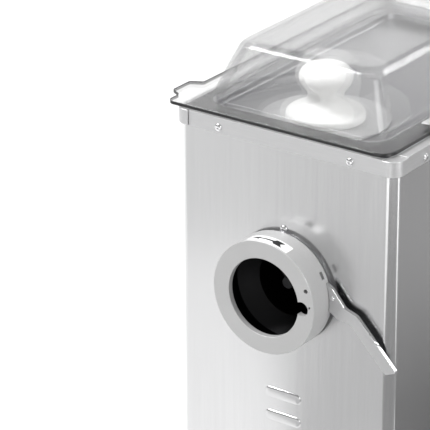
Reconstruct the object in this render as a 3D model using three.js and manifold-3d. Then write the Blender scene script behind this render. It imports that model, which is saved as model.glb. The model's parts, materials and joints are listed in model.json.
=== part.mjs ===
// Counter-top cabinet meat grinder: a stainless cabinet with a horizontal grinding
// head, a meat tray under a clear hinged dome, and the drive and cooling inside.
// Millimetres, +Z up, the front faces -Y.
import * as THREE from "three";
import { mergeVertices } from "three/addons/utils/BufferGeometryUtils.js";
import Module from "manifold-3d";

// ---------------------------------------------------------------- driving dimensions
const WIDTH = 320; // cabinet, side face to side face
const DEPTH = 480; // cabinet, front face to back face
const FOOT_HEIGHT = 25;
const TRIM_TOP = 500; // height of the top edge of the cabinet
const SHEET = 2; // cabinet sheet thickness
const CORNER_R = 12; // rounded front edges of the cabinet
const GAP = 0.3; // clearance left between touching pieces

const TRIM_HEIGHT = 20.5;
const TRIM_PROUD = 3;
const TRIM_LIP = 12; // width of the trim's top lip
const LIP_THICK = 2.2;
const CAP_PROUD = 4.5;
const CAP_FRONT_X = 143; // front seam between strip and corner cap, from the middle
const CAP_SIDE_Y = 22; // side seam, from the front face

const SCREW_HEAD_R = 5;
const SCREW_HEAD_H = 2.8;
const SCREW_SHANK_R = 2;
const SCREW_HOLE_R = 2.4;
const SCREW_DROP = 12.9; // screw axis below the trim top
const SCREW_X = 97; // trim screws on front and back, from the middle
const SCREW_SIDE_Y = 62; // trim screws on the sides, from the front and the back

const HEAD_Z = TRIM_TOP - 203.5; // axis of the grinding head
const RING_FRONT_Y = -45;
const RING_BACK_Y = -6;
const RING_R = 75.4;
const RING_HOLE_R = 52;
const RING_PLATE = 8;
const RING_BORE_R = 71;
const THREAD_R = 70.6;
const MOUTH_R = 65;
const CHAMBER_R = 45;
const BARREL_BACK_Y = 172;
const THROAT_Y = 91; // axis of the feed throat, from the front face
const THROAT_R = 30;
const THROAT_WALL = 3;

const LEVER_THICK = 5.4;
const LEVER_BACK_Y = -6.5;

const LID_LEFT = -178;
const LID_RIGHT = 148;
const LID_THICK = 5;
const DOME_HEIGHT = 75;
const DOME_LEAN = 33;
const DOME_MARGIN = 33; // dome foot inside the flange edge
const DOME_WALL = 3;
const DOME_EDGE_R = 14;
const TAB_OUT = 16;

const TRAY_FLOOR_Z = TRIM_TOP - 10;
const HINGE_X = 155;
const HINGE_Z = TRIM_TOP + 6.4;
const HINGE_R = 4;
const HINGE_Y = 110; // front end of the long hinge
const HINGE_LENGTH = 250;
const HINGE_KNUCKLES = 5;

const GEAR_MODULE = 2.25;
const GEAR_TEETH = 40;
const PINION_TEETH = 18;
const GEAR_THICK = 16;
const GEAR_Y = 200; // front face of the gears
const SHAFT_R = 12;
const MOTOR_Z = HEAD_Z - (GEAR_MODULE * (GEAR_TEETH + PINION_TEETH)) / 2;
const MOTOR_R = 58;
const MOTOR_FRONT_Y = 238;
const MOTOR_BACK_Y = 392;

const FAN_Z = 106;
const FAN_R = 58;
const FAN_Y = 408;
const BUTTON_Y = 170;
const BUTTON_ZS = { start: 440, stop: 404 };
const GLAND_X = 110;
const GLAND_Z = 60;

// ---------------------------------------------------------------- finishes
const finish = (color, roughness, metalness) => ({ color, roughness, metalness });
const BRUSHED = finish(0xc9cacc, 0.35, 1);
const TRIM_STEEL = finish(0xd4d5d6, 0.4, 1);
const CHROME = finish(0xe2e3e5, 0.12, 1);
const CAST_STEEL = finish(0xb4b5b7, 0.5, 1);
const DARK_STEEL = finish(0x26272a, 0.6, 0.8);
const BRASS = finish(0xb5873a, 0.35, 1);
const COPPER = finish(0xb36a45, 0.35, 1);
const WHITE_PLASTIC = finish(0xf2f2f0, 0.35, 0);
const BLACK_PLASTIC = finish(0x1b1b1d, 0.5, 0);
const GREEN_PLASTIC = finish(0x2f8f4a, 0.4, 0);
const RED_PLASTIC = finish(0xb52a24, 0.4, 0);
const RUBBER = finish(0x202022, 0.85, 0);
const SMOKED = finish(0x9a9ea3, 0.06, 0);
const BLACK_PAINT = finish(0x222326, 0.4, 0.2);

// ---------------------------------------------------------------- solids
const wasm = await Module();
wasm.setup();

// One closed surface: vertices shared, collapsed triangles gone, faces outwards.
function clean(geometry) {
  const bare = geometry.clone();
  bare.deleteAttribute("normal");
  bare.deleteAttribute("uv");
  const merged = mergeVertices(bare, 1e-3);
  const index = merged.index.array;
  const p = merged.attributes.position.array;
  const kept = [];
  let volume = 0;
  for (let i = 0; i < index.length; i += 3) {
    const [a, b, c] = [index[i], index[i + 1], index[i + 2]];
    if (a === b || b === c || c === a) continue;
    kept.push(a, b, c);
    const [ax, ay, az] = p.slice(a * 3, a * 3 + 3);
    const [bx, by, bz] = p.slice(b * 3, b * 3 + 3);
    const [cx, cy, cz] = p.slice(c * 3, c * 3 + 3);
    volume += ax * (by * cz - bz * cy) + ay * (bz * cx - bx * cz) + az * (bx * cy - by * cx);
  }
  if (volume < 0) kept.reverse();
  merged.setIndex(kept);
  return merged;
}

function toSolid(geometry) {
  const closed = clean(geometry);
  const vertProperties = Float32Array.from(closed.attributes.position.array);
  const triVerts = Uint32Array.from(closed.index.array);
  return new wasm.Manifold(new wasm.Mesh({ numProp: 3, vertProperties, triVerts }));
}

function toGeometry(solid) {
  const { vertProperties, triVerts } = solid.getMesh();
  const geometry = new THREE.BufferGeometry();
  geometry.setAttribute("position", new THREE.BufferAttribute(vertProperties, 3));
  geometry.setIndex(new THREE.BufferAttribute(triVerts, 1));
  return geometry;
}

function join(...geometries) {
  return toGeometry(geometries.map(toSolid).reduce((a, b) => a.add(b)));
}

function cut(geometry, ...tools) {
  return toGeometry(tools.map(toSolid).reduce((a, b) => a.subtract(b), toSolid(geometry)));
}

// ---------------------------------------------------------------- outlines and sweeps
function roundRect(width, height, radius, cx = 0, cy = 0) {
  const shape = new THREE.Shape();
  const [w, h] = [width / 2 - radius, height / 2 - radius];
  shape.absarc(cx + w, cy + h, radius, 0, Math.PI / 2);
  shape.absarc(cx - w, cy + h, radius, Math.PI / 2, Math.PI);
  shape.absarc(cx - w, cy - h, radius, Math.PI, Math.PI * 1.5);
  shape.absarc(cx + w, cy - h, radius, Math.PI * 1.5, Math.PI * 2);
  shape.closePath();
  return shape;
}

// Round hole whose flats, not its corners, lie at the stated radius.
function roundHole(x, y, radius, segments = 20) {
  const corner = radius / Math.cos(Math.PI / segments);
  const turn = (i) => (i / segments) * Math.PI * 2;
  const ring = Array.from({ length: segments }, (_, i) => new THREE.Vector2(
    x + corner * Math.cos(turn(i)), y + corner * Math.sin(turn(i))));
  return new THREE.Path(ring);
}

function polygon(points) {
  return new THREE.Shape(points.map(([x, y]) => new THREE.Vector2(x, y)));
}

// Outline given in X and Z, swept from yFront back to yBack.
function alongY(shape, yFront, yBack, curveSegments = 6) {
  const sweep = { depth: yBack - yFront, bevelEnabled: false, curveSegments };
  return new THREE.ExtrudeGeometry(shape, sweep).rotateX(Math.PI / 2).translate(0, yBack, 0);
}

// Outline given in X and Y, swept up from z0 to z1.
function alongZ(shape, z0, z1, curveSegments = 6) {
  const sweep = { depth: z1 - z0, bevelEnabled: false, curveSegments };
  return new THREE.ExtrudeGeometry(shape, sweep).translate(0, 0, z0);
}

// Outline given in Y and Z, swept from x0 to x1.
function alongX(shape, x0, x1, curveSegments = 6) {
  const sweep = { depth: x1 - x0, bevelEnabled: false, curveSegments };
  const swept = new THREE.ExtrudeGeometry(shape, sweep);
  return swept.rotateX(Math.PI / 2).rotateZ(Math.PI / 2).translate(x0, 0, 0);
}

function box(x0, x1, y0, y1, z0, z1) {
  const block = new THREE.BoxGeometry(x1 - x0, y1 - y0, z1 - z0);
  return block.translate((x0 + x1) / 2, (y0 + y1) / 2, (z0 + z1) / 2);
}

function rodY(radius, y0, y1, x, z, segments = 20) {
  return new THREE.CylinderGeometry(radius, radius, y1 - y0, segments).translate(x, (y0 + y1) / 2, z);
}

function rodZ(radius, z0, z1, x, y, segments = 24) {
  const rod = new THREE.CylinderGeometry(radius, radius, z1 - z0, segments).rotateX(Math.PI / 2);
  return rod.translate(x, y, (z0 + z1) / 2);
}

function rodX(radius, x0, x1, y, z, segments = 24) {
  const rod = new THREE.CylinderGeometry(radius, radius, x1 - x0, segments).rotateZ(Math.PI / 2);
  return rod.translate((x0 + x1) / 2, y, z);
}

// Turned piece on the Y axis, from [radius, y] points.
function turnedY(points, segments = 32) {
  return new THREE.LatheGeometry(points.map(([r, y]) => new THREE.Vector2(r, y)), segments);
}

// Turned piece on the Z axis, from [radius, z] points.
function turnedZ(points, segments = 32) {
  return turnedY(points, segments).rotateX(Math.PI / 2);
}

function ringY(inner, outer, y0, y1, x, z, segments = 20) {
  const profile = [[inner, y0], [outer, y0], [outer, y1], [inner, y1], [inner, y0]];
  return turnedY(profile, segments).translate(x, 0, z);
}

// Rounded block whose outline draws in as it rises, from [inset, z] levels.
function tapered(width, depth, radius, cx, cy, levels) {
  const rises = levels.length - 1;
  const sweep = { depth: rises, steps: rises, bevelEnabled: false, curveSegments: 4 };
  const block = new THREE.ExtrudeGeometry(roundRect(width, depth, radius), sweep);
  const position = block.attributes.position;
  for (let i = 0; i < position.count; i += 1) {
    const [inset, z] = levels[Math.round(position.getZ(i))];
    const x = position.getX(i) * (1 - (2 * inset) / width);
    const y = position.getY(i) * (1 - (2 * inset) / depth);
    position.setXYZ(i, cx + x, cy + y, z);
  }
  return block;
}

// ---------------------------------------------------------------- scene graph
const grinder = new THREE.Group();

function add(name, geometry, look, parent = grinder) {
  const mesh = new THREE.Mesh(clean(geometry), new THREE.MeshStandardMaterial(look));
  mesh.name = name;
  parent.add(mesh);
  return mesh;
}

// ---------------------------------------------------------------- cabinet shell
function uOutline() {
  const half = WIDTH / 2;
  const inner = CORNER_R - SHEET;
  const shape = new THREE.Shape();
  shape.moveTo(-half, DEPTH - SHEET);
  shape.lineTo(-half, CORNER_R);
  shape.absarc(-half + CORNER_R, CORNER_R, CORNER_R, Math.PI, Math.PI * 1.5);
  shape.lineTo(half - CORNER_R, 0);
  shape.absarc(half - CORNER_R, CORNER_R, CORNER_R, -Math.PI / 2, 0);
  shape.lineTo(half, DEPTH - SHEET);
  shape.lineTo(half - SHEET, DEPTH - SHEET);
  shape.lineTo(half - SHEET, CORNER_R);
  shape.absarc(half - CORNER_R, CORNER_R, inner, 0, -Math.PI / 2, true);
  shape.lineTo(-half + CORNER_R, SHEET);
  shape.absarc(-half + CORNER_R, CORNER_R, inner, -Math.PI / 2, -Math.PI, true);
  shape.lineTo(-half + SHEET, DEPTH - SHEET);
  shape.closePath();
  return shape;
}

const SHELL_TOP = TRIM_TOP - LIP_THICK - GAP;
const NECK_HOLE_R = THREAD_R + 1.4;
const NECK_SCREW_Z = HEAD_Z + 76.5;
const LOUVRE_ZS = [142, 109, 76];
const LOUVRE_LENGTH = 55;
const LOUVRE_HEIGHT = 15;
const LOUVRE_PROUD = 4;

const sides = [-1, 1];
const frontScrews = sides.map((s) => ({ tag: s < 0 ? "left" : "right", x: s * SCREW_X }));
const sideScrews = [SCREW_SIDE_Y, DEPTH - SCREW_SIDE_Y];
const screwZ = TRIM_TOP - SCREW_DROP;

function louvre(z) {
  const bevel = { bevelThickness: LOUVRE_PROUD, bevelSize: 4, bevelSegments: 2 };
  const bump = { depth: 0.01, curveSegments: 4, ...bevel };
  const core = roundRect(LOUVRE_LENGTH - 8, LOUVRE_HEIGHT - 8, LOUVRE_HEIGHT / 2 - 4.01, 0, z);
  return new THREE.ExtrudeGeometry(core, bump).rotateX(Math.PI / 2);
}

function cabinetShell() {
  const wrap = alongZ(uOutline(), FOOT_HEIGHT, SHELL_TOP, 6);
  const bumps = LOUVRE_ZS.map((z) => cut(louvre(z), box(-100, 100, 0.2, 20, 0, TRIM_TOP)));
  const slot = LOUVRE_LENGTH / 2 - 9;
  const slots = LOUVRE_ZS.map((z) => box(-slot, slot, -LOUVRE_PROUD + 1.2, 5, z - 10, z - 1));
  const holes = frontScrews.map(({ x }) => rodY(SCREW_HOLE_R, -5, 5, x, screwZ, 8));
  for (const s of sides) {
    for (const y of sideScrews) {
      holes.push(rodX(SCREW_HOLE_R, (s * WIDTH) / 2 - 5, (s * WIDTH) / 2 + 5, y, screwZ, 8));
    }
  }
  for (const z of Object.values(BUTTON_ZS)) {
    holes.push(rodX(13, WIDTH / 2 - 5, WIDTH / 2 + 5, BUTTON_Y, z, 16));
  }
  const neck = rodY(NECK_HOLE_R, -5, 5, 0, HEAD_Z, 40);
  const screw = rodY(SCREW_HOLE_R, -5, 5, 0, NECK_SCREW_Z, 8);
  return cut(join(wrap, ...bumps), ...slots, neck, screw, ...holes);
}
add("cabinet_shell", cabinetShell(), BRUSHED);

function backPanel() {
  const shape = roundRect(WIDTH, SHELL_TOP - FOOT_HEIGHT, 1, 0, (SHELL_TOP + FOOT_HEIGHT) / 2);
  for (let row = 0; row < 7; row += 1) {
    shape.holes.push(roundRect(170, 6, 2.9, 0, 60 + row * 15));
  }
  shape.holes.push(roundHole(GLAND_X, GLAND_Z, 8, 12));
  const holes = frontScrews.map(({ x }) => rodY(SCREW_HOLE_R, DEPTH - 6, DEPTH + 6, x, screwZ, 8));
  return cut(alongY(shape, DEPTH - SHEET + GAP, DEPTH, 3), ...holes);
}
add("back_panel", backPanel(), BRUSHED);

const INSIDE = SHEET + GAP;
function basePlate() {
  const plate = roundRect(WIDTH - 2 * INSIDE, DEPTH - 2 * INSIDE, CORNER_R - SHEET, 0, DEPTH / 2);
  const holes = [-60, -20, 20, 60];
  for (const x of holes) plate.holes.push(roundRect(12, 100, 5.9, x, 330));
  return alongZ(plate, FOOT_HEIGHT, FOOT_HEIGHT + 3, 3);
}
add("base_plate", basePlate(), BRUSHED);

const footTop = FOOT_HEIGHT - GAP;
const footProfile = [[0, 0], [13, 0], [15, 2], [18, FOOT_HEIGHT - 3], [18, footTop], [0, footTop]];
for (const [side, s] of [["left", -1], ["right", 1]]) {
  for (const [end, y] of [["front", 40], ["back", DEPTH - 40]]) {
    const foot = add(`foot_${end}_${side}`, turnedZ(footProfile, 16), RUBBER);
    foot.position.set(s * (WIDTH / 2 - 38), y, 0);
  }
}

function topFrame() {
  const outer = roundRect(WIDTH - 2 * INSIDE - 1, DEPTH - 2 * INSIDE - 1, CORNER_R - SHEET, 0, DEPTH / 2);
  outer.holes.push(roundRect(WIDTH - 40, DEPTH - 40, 6, 0, DEPTH / 2));
  return alongZ(outer, screwZ - 8, screwZ + 4, 4);
}
add("top_frame", topFrame(), CAST_STEEL);

// ---------------------------------------------------------------- top trim
const half = WIDTH / 2;
const trimBottom = TRIM_TOP - TRIM_HEIGHT;

// L section seen end-on: out is the outward distance from the cabinet face.
function trimSection(proud) {
  return polygon([
    [proud, trimBottom],
    [proud, TRIM_TOP],
    [-TRIM_LIP, TRIM_TOP],
    [-TRIM_LIP, TRIM_TOP - LIP_THICK],
    [GAP, TRIM_TOP - LIP_THICK],
    [GAP, trimBottom],
  ]);
}

function frontTrim() {
  const strip = alongX(trimSection(TRIM_PROUD), -CAP_FRONT_X + GAP, CAP_FRONT_X - GAP);
  strip.scale(1, -1, 1);
  return cut(clean(strip), ...frontScrews.map(({ x }) => rodY(SCREW_HOLE_R, -6, 6, x, screwZ, 8)));
}

function backTrim() {
  const strip = alongX(trimSection(TRIM_PROUD), -CAP_FRONT_X + GAP, CAP_FRONT_X - GAP);
  const holes = frontScrews.map(({ x }) => rodY(SCREW_HOLE_R, DEPTH - 6, DEPTH + 6, x, screwZ, 8));
  return cut(strip.translate(0, DEPTH, 0), ...holes);
}

function sideTrim(s) {
  const strip = alongY(trimSection(TRIM_PROUD), CAP_SIDE_Y + GAP, DEPTH - CAP_SIDE_Y - GAP);
  strip.translate(half, 0, 0);
  const holes = sideScrews.map((y) => rodX(SCREW_HOLE_R, half - 6, half + 6, y, screwZ, 8));
  const drilled = cut(strip, ...holes);
  return s < 0 ? clean(drilled.scale(-1, 1, 1)) : drilled;
}
add("trim_front", frontTrim(), TRIM_STEEL);
add("trim_back", backTrim(), TRIM_STEEL);
add("trim_left", sideTrim(-1), TRIM_STEEL);
add("trim_right", sideTrim(1), TRIM_STEEL);

// Corner cap for the right front corner: a rounded block hollowed by the cabinet.
function cornerCap(cabinetR) {
  const outerR = CORNER_R + CAP_PROUD;
  const outline = new THREE.Shape();
  outline.moveTo(CAP_FRONT_X, TRIM_LIP);
  outline.lineTo(CAP_FRONT_X, -CAP_PROUD);
  outline.absarc(half + CAP_PROUD - outerR, outerR - CAP_PROUD, outerR, -Math.PI / 2, 0);
  outline.lineTo(half + CAP_PROUD, CAP_SIDE_Y);
  outline.lineTo(half - TRIM_LIP, CAP_SIDE_Y);
  outline.lineTo(half - TRIM_LIP, TRIM_LIP);
  const hollow = new THREE.Shape();
  const past = 5;
  hollow.moveTo(CAP_FRONT_X - past, CAP_SIDE_Y + past);
  hollow.lineTo(CAP_FRONT_X - past, -GAP);
  hollow.absarc(half - cabinetR, cabinetR, cabinetR + GAP, -Math.PI / 2, 0);
  hollow.lineTo(half + GAP, CAP_SIDE_Y + past);
  const block = alongZ(outline, trimBottom, TRIM_TOP, 5);
  return cut(block, alongZ(hollow, trimBottom - past, TRIM_TOP - LIP_THICK, 6));
}
for (const [side, sx] of [["left", -1], ["right", 1]]) {
  for (const [end, sy, cabinetR] of [["front", 1, CORNER_R], ["back", -1, 1]]) {
    const cap = cornerCap(cabinetR).scale(sx, sy, 1).translate(0, sy < 0 ? DEPTH : 0, 0);
    add(`corner_cap_${end}_${side}`, cap, TRIM_STEEL);
  }
}

// Button-head screw standing on the XY plane, head upwards, with a hex socket.
function buttonScrew(shank) {
  const headR = SCREW_HEAD_R;
  const head = turnedZ([
    [0, -shank],
    [SCREW_SHANK_R, -shank],
    [SCREW_SHANK_R, 0],
    [headR, 0],
    [headR * 0.96, 1],
    [headR * 0.7, 2.3],
    [0, SCREW_HEAD_H],
  ], 12);
  const socket = rodZ(1.7, 0.9, 4, 0, 0, 6);
  return cut(head, socket);
}
function placeScrew(name, x, y, z, rotation, shank = 5.3) {
  const screw = add(name, buttonScrew(shank), CHROME);
  screw.position.set(x, y, z);
  screw.rotation.set(...rotation);
}
const TO_FRONT = [Math.PI / 2, 0, 0];
const TO_BACK = [-Math.PI / 2, 0, 0];
const seat = TRIM_PROUD + GAP;
for (const { tag, x } of frontScrews) {
  placeScrew(`trim_screw_front_${tag}`, x, -seat, screwZ, TO_FRONT);
  placeScrew(`trim_screw_back_${tag}`, x, DEPTH + seat, screwZ, TO_BACK);
}
for (const [end, y] of [["front", sideScrews[0]], ["back", sideScrews[1]]]) {
  placeScrew(`trim_screw_left_${end}`, -half - seat, y, screwZ, [0, -Math.PI / 2, 0]);
  placeScrew(`trim_screw_right_${end}`, half + seat, y, screwZ, [0, Math.PI / 2, 0]);
}
placeScrew("neck_screw", 0, -GAP, NECK_SCREW_Z, TO_FRONT, 12);

// ---------------------------------------------------------------- meat tray and throat
const trayWidth = WIDTH - 2 * (TRIM_LIP + 2 * GAP);
const trayDepth = DEPTH - 2 * (TRIM_LIP + 2 * GAP);
const TRAY_RIM = 11;
const TRAY_TOP = TRIM_TOP - 0.5;
function meatTray() {
  const rim = alongZ(roundRect(trayWidth, trayDepth, 6, 0, DEPTH / 2), TRAY_TOP - 1.5, TRAY_TOP, 4);
  const [w, d] = [trayWidth - 2 * TRAY_RIM, trayDepth - 2 * TRAY_RIM];
  const under = [[2.5, TRAY_FLOOR_Z - 1.5], [0.5, TRAY_FLOOR_Z + 1], [0, TRAY_TOP - 0.5]];
  const inside = [[4, TRAY_FLOOR_Z], [2, TRAY_FLOOR_Z + 2], [1.5, TRAY_TOP - 1.5], [1.5, TRAY_TOP + 5]];
  const pan = tapered(w, d, 24, 0, DEPTH / 2, under);
  const hollow = tapered(w, d, 24, 0, DEPTH / 2, inside);
  const hole = rodZ(THROAT_R + THROAT_WALL + 1, TRAY_FLOOR_Z - 9, TRAY_FLOOR_Z + 9, 0, THROAT_Y, 28);
  return cut(join(rim, pan), hollow, hole);
}
add("meat_tray", meatTray(), BRUSHED);

const PLATE_R = 82;
const PLATE_TOP = TRAY_FLOOR_Z + GAP + 2.2;
const THROAT_LOW_Z = HEAD_Z + 62;
const PLATE_FRONT_Y = 31;
function feedThroat() {
  const outer = THROAT_R + THROAT_WALL;
  const throat = turnedZ([
    [THROAT_R, THROAT_LOW_Z],
    [outer, THROAT_LOW_Z],
    [outer, TRAY_FLOOR_Z + GAP],
    [PLATE_R, TRAY_FLOOR_Z + GAP],
    [PLATE_R, PLATE_TOP],
    [THROAT_R + 2, PLATE_TOP],
    [THROAT_R, PLATE_TOP - 2],
    [THROAT_R, THROAT_LOW_Z],
  ], 36);
  return cut(throat, box(-100, 100, -100, PLATE_FRONT_Y - THROAT_Y, TRAY_FLOOR_Z - 1, TRIM_TOP));
}
add("feed_throat", feedThroat(), TRIM_STEEL).position.y = THROAT_Y;

// ---------------------------------------------------------------- pusher
const pusherBase = PLATE_TOP + GAP;
const PUSHER_R = 50;
const STEM_R = THROAT_R - 3;
const STEM_BOTTOM = TRIM_TOP - 100;
function pusher() {
  const at = (r, z) => new THREE.Vector2(r, TRIM_TOP + z);
  const bell = new THREE.CubicBezierCurve(at(49, 0.5), at(43, 10), at(24, 9), at(22.5, 23));
  const knob = new THREE.CubicBezierCurve(at(22.5, 23), at(22.5, 34), at(34, 34), at(34, 47));
  const crown = new THREE.CubicBezierCurve(at(34, 47), at(34, 59), at(20, 65), at(0, 65));
  const points = [bell, knob, crown].flatMap((c, i) => c.getPoints(4).slice(i ? 1 : 0));
  const curve = points.map((p) => [p.x, p.y]);
  return turnedZ([
    [0, STEM_BOTTOM],
    [STEM_R - 1, STEM_BOTTOM],
    [STEM_R, STEM_BOTTOM + 2],
    [STEM_R, pusherBase],
    [PUSHER_R - 1, pusherBase],
    [PUSHER_R, pusherBase + 1.5],
    [PUSHER_R, TRIM_TOP - 1.5],
    ...curve,
  ], 28);
}
add("pusher", pusher(), WHITE_PLASTIC).position.y = THROAT_Y;

// ---------------------------------------------------------------- clear lid
const lidCx = (LID_LEFT + LID_RIGHT) / 2;
const lidWidth = LID_RIGHT - LID_LEFT;
const flangeTop = TRIM_TOP + LID_THICK;
function flangeOutline() {
  const shape = new THREE.Shape();
  const [x0, x1, y0, y1] = [LID_LEFT, LID_RIGHT, 0, DEPTH];
  const [smallR, bigR] = [9, 22];
  shape.moveTo(x0 + smallR, y0);
  shape.absarc(x1 - bigR, y0 + bigR, bigR, -Math.PI / 2, 0);
  shape.absarc(x1 - bigR, y1 - bigR, bigR, 0, Math.PI / 2);
  shape.absarc(x0 + smallR, y1 - smallR, smallR, Math.PI / 2, Math.PI);
  shape.lineTo(x0, 78);
  shape.lineTo(x0 - TAB_OUT + 4, 71);
  shape.absarc(x0 - TAB_OUT + 4, 67, 4, Math.PI / 2, Math.PI);
  shape.absarc(x0 - TAB_OUT + 4, 36, 4, Math.PI, Math.PI * 1.5);
  shape.lineTo(x0, 25);
  shape.absarc(x0 + smallR, y0 + smallR, smallR, Math.PI, Math.PI * 1.5);
  return shape;
}

function domeLevels(offset, z0) {
  const [top, radius] = [flangeTop + DOME_HEIGHT - offset, DOME_EDGE_R];
  const bend = new THREE.Vector2(DOME_LEAN - 10, top - radius);
  const levels = [[offset, z0], [offset + 1, flangeTop + 2]];
  const arc = new THREE.QuadraticBezierCurve(
    bend, new THREE.Vector2(DOME_LEAN - 1, top - 1), new THREE.Vector2(DOME_LEAN + 14, top));
  for (const p of arc.getPoints(4)) levels.push([offset + p.x, p.y]);
  return levels;
}

function lid() {
  const [w, d] = [lidWidth - 2 * DOME_MARGIN, DEPTH - 2 * DOME_MARGIN];
  const flange = alongZ(flangeOutline(), TRIM_TOP + GAP, flangeTop, 6);
  const outer = tapered(w, d, 30, lidCx, DEPTH / 2, domeLevels(0, TRIM_TOP + 2));
  const inner = tapered(w, d, 30, lidCx, DEPTH / 2, domeLevels(DOME_WALL, TRIM_TOP - 5));
  return cut(join(flange, outer), inner);
}
add("lid", lid(), SMOKED);

// ---------------------------------------------------------------- lid hinge
const knuckle = HINGE_LENGTH / HINGE_KNUCKLES;
const hingeEnd = HINGE_Y + HINGE_LENGTH;
const knuckleFront = (i) => HINGE_Y + i * knuckle;
const fixedKnuckles = [0, 2, 4];
const lidKnuckles = [1, 3];
const pinBore = () => rodY(1.9, HINGE_Y - 5, hingeEnd + 5, HINGE_X, HINGE_Z, 12);

const knuckleSpan = (i) => [knuckleFront(i) + GAP, knuckleFront(i + 1) - GAP];
const knuckleBarrel = (i) => rodY(HINGE_R, ...knuckleSpan(i), HINGE_X, HINGE_Z, 16);

function hingeLeaf(plate, own, web) {
  const webs = own.map((i) => box(...web, ...knuckleSpan(i), TRIM_TOP + 1, HINGE_Z));
  return cut(join(plate, ...own.map(knuckleBarrel), ...webs), pinBore());
}
const cabinetEdge = half + TRIM_PROUD;
const fixedPlate = box(HINGE_X - 4, cabinetEdge, HINGE_Y, hingeEnd, TRIM_TOP + GAP, TRIM_TOP + 1.8);
add("hinge_leaf", hingeLeaf(fixedPlate, fixedKnuckles, [HINGE_X, HINGE_X + HINGE_R]), CHROME);
const openPlate = box(LID_RIGHT - 22, HINGE_X, HINGE_Y + 1, hingeEnd - 1, flangeTop + GAP, flangeTop + 2);
function lidLeaf() {
  const room = fixedKnuckles.map((i) => {
    const [y0, y1] = [knuckleFront(i) - GAP, knuckleFront(i + 1) + GAP];
    return box(HINGE_X - 5.5, HINGE_X + 9, y0, y1, TRIM_TOP, HINGE_Z + 6);
  });
  return cut(join(cut(openPlate, ...room), ...lidKnuckles.map(knuckleBarrel)), pinBore());
}
add("lid_leaf", lidLeaf(), CHROME);
add("hinge_pin", rodY(1.6, HINGE_Y, hingeEnd, HINGE_X, HINGE_Z, 12), CHROME);

// ---------------------------------------------------------------- grinding head
function headBarrel() {
  const front = RING_FRONT_Y + RING_PLATE + GAP;
  const wall = 7;
  const body = turnedY([
    [MOUTH_R, front],
    [THREAD_R, front],
    [THREAD_R, 5],
    [THREAD_R + 15, 5],
    [THREAD_R + 15, 12],
    [CHAMBER_R + wall + 6, 12],
    [CHAMBER_R + wall, 30],
    [CHAMBER_R + wall, BARREL_BACK_Y],
    [SHAFT_R + 1, BARREL_BACK_Y],
    [SHAFT_R + 1, BARREL_BACK_Y - 10],
    [CHAMBER_R, BARREL_BACK_Y - 10],
    [CHAMBER_R, 12],
    [MOUTH_R, -8],
    [MOUTH_R, front],
  ], 36).translate(0, 0, HEAD_Z);
  const neckTop = THROAT_LOW_Z - GAP;
  const outerNeck = rodZ(THROAT_R + THROAT_WALL, HEAD_Z + 40, neckTop, 0, THROAT_Y, 28);
  const innerNeck = rodZ(THROAT_R, HEAD_Z, neckTop + 5, 0, THROAT_Y, 28);
  const screwHole = rodY(SCREW_HOLE_R, 0, 20, 0, NECK_SCREW_Z, 8);
  const bore = rodY(CHAMBER_R, 14, BARREL_BACK_Y - 10.5, 0, HEAD_Z, 36);
  return cut(join(body, cut(outerNeck, bore)), innerNeck, screwHole);
}
add("head_barrel", headBarrel(), CAST_STEEL);

function ringNut() {
  const c = 1.2;
  const back = RING_FRONT_Y + RING_PLATE;
  const profile = [
    [RING_HOLE_R, RING_FRONT_Y],
    [RING_R - c, RING_FRONT_Y],
    [RING_R, RING_FRONT_Y + c],
    [RING_R, RING_BACK_Y - c],
    [RING_R - c, RING_BACK_Y],
    [RING_BORE_R, RING_BACK_Y],
    [RING_BORE_R, back],
    [RING_HOLE_R, back],
    [RING_HOLE_R, RING_FRONT_Y],
  ];
  const at = (r, degrees) => {
    const turn = (degrees * Math.PI) / 180;
    return [r * Math.cos(turn), HEAD_Z + r * Math.sin(turn)];
  };
  const notch = rodY(9.5, RING_FRONT_Y - 5, back + 2, ...at(57, 0), 20);
  const hole = rodY(3, RING_FRONT_Y - 5, back + 2, ...at(68, 22), 10);
  const vent = rodY(1.4, RING_FRONT_Y - 5, back + 2, ...at(69, 4), 6);
  const slot = box(RING_BORE_R - 4, RING_R + 4, -16.5, -11.5, -5, 5);
  slot.rotateY((-28.5 * Math.PI) / 180).translate(0, 0, HEAD_Z);
  return cut(turnedY(profile, 48).translate(0, 0, HEAD_Z), notch, hole, vent, slot);
}
add("ring_nut", ringNut(), CAST_STEEL);

// Lever outline from the ring's edge, relative to the head axis.
const LEVER_ROOT = { top: 20, bottom: -8 }; // degrees round the ring
const RIVET = [81, 8];
function lever() {
  const rad = Math.PI / 180;
  const root = RING_R + GAP;
  const shape = new THREE.Shape();
  shape.absarc(0, 0, root, LEVER_ROOT.bottom * rad, LEVER_ROOT.top * rad);
  shape.quadraticCurveTo(80, 21.5, 84, 16.5);
  shape.lineTo(96, 1.8);
  shape.quadraticCurveTo(99, -1.5, 103, -2.6);
  shape.lineTo(112, -5.2);
  shape.quadraticCurveTo(116, -6.6, 119, -9.8);
  shape.lineTo(173, -65.8);
  shape.quadraticCurveTo(174.5, -67.5, 172, -68.7);
  shape.lineTo(160, -73.6);
  shape.quadraticCurveTo(158.5, -74, 157, -72.5);
  shape.lineTo(109, -22.3);
  shape.quadraticCurveTo(105.5, -18.8, 100, -18.6);
  shape.lineTo(93, -18.6);
  shape.quadraticCurveTo(88.4, -18.4, 85, -16);
  shape.closePath();
  const bar = alongY(shape, LEVER_BACK_Y - LEVER_THICK, LEVER_BACK_Y, 8);
  const hole = rodY(2.4, LEVER_BACK_Y - 20, 5, ...RIVET, 12);
  return cut(bar, hole).translate(0, 0, HEAD_Z);
}
add("lever", lever(), TRIM_STEEL);
const rivetY = LEVER_BACK_Y - LEVER_THICK - 0.9;
add("lever_rivet", rodY(2.1, rivetY, LEVER_BACK_Y, RIVET[0], HEAD_Z + RIVET[1], 12), CHROME);

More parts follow.
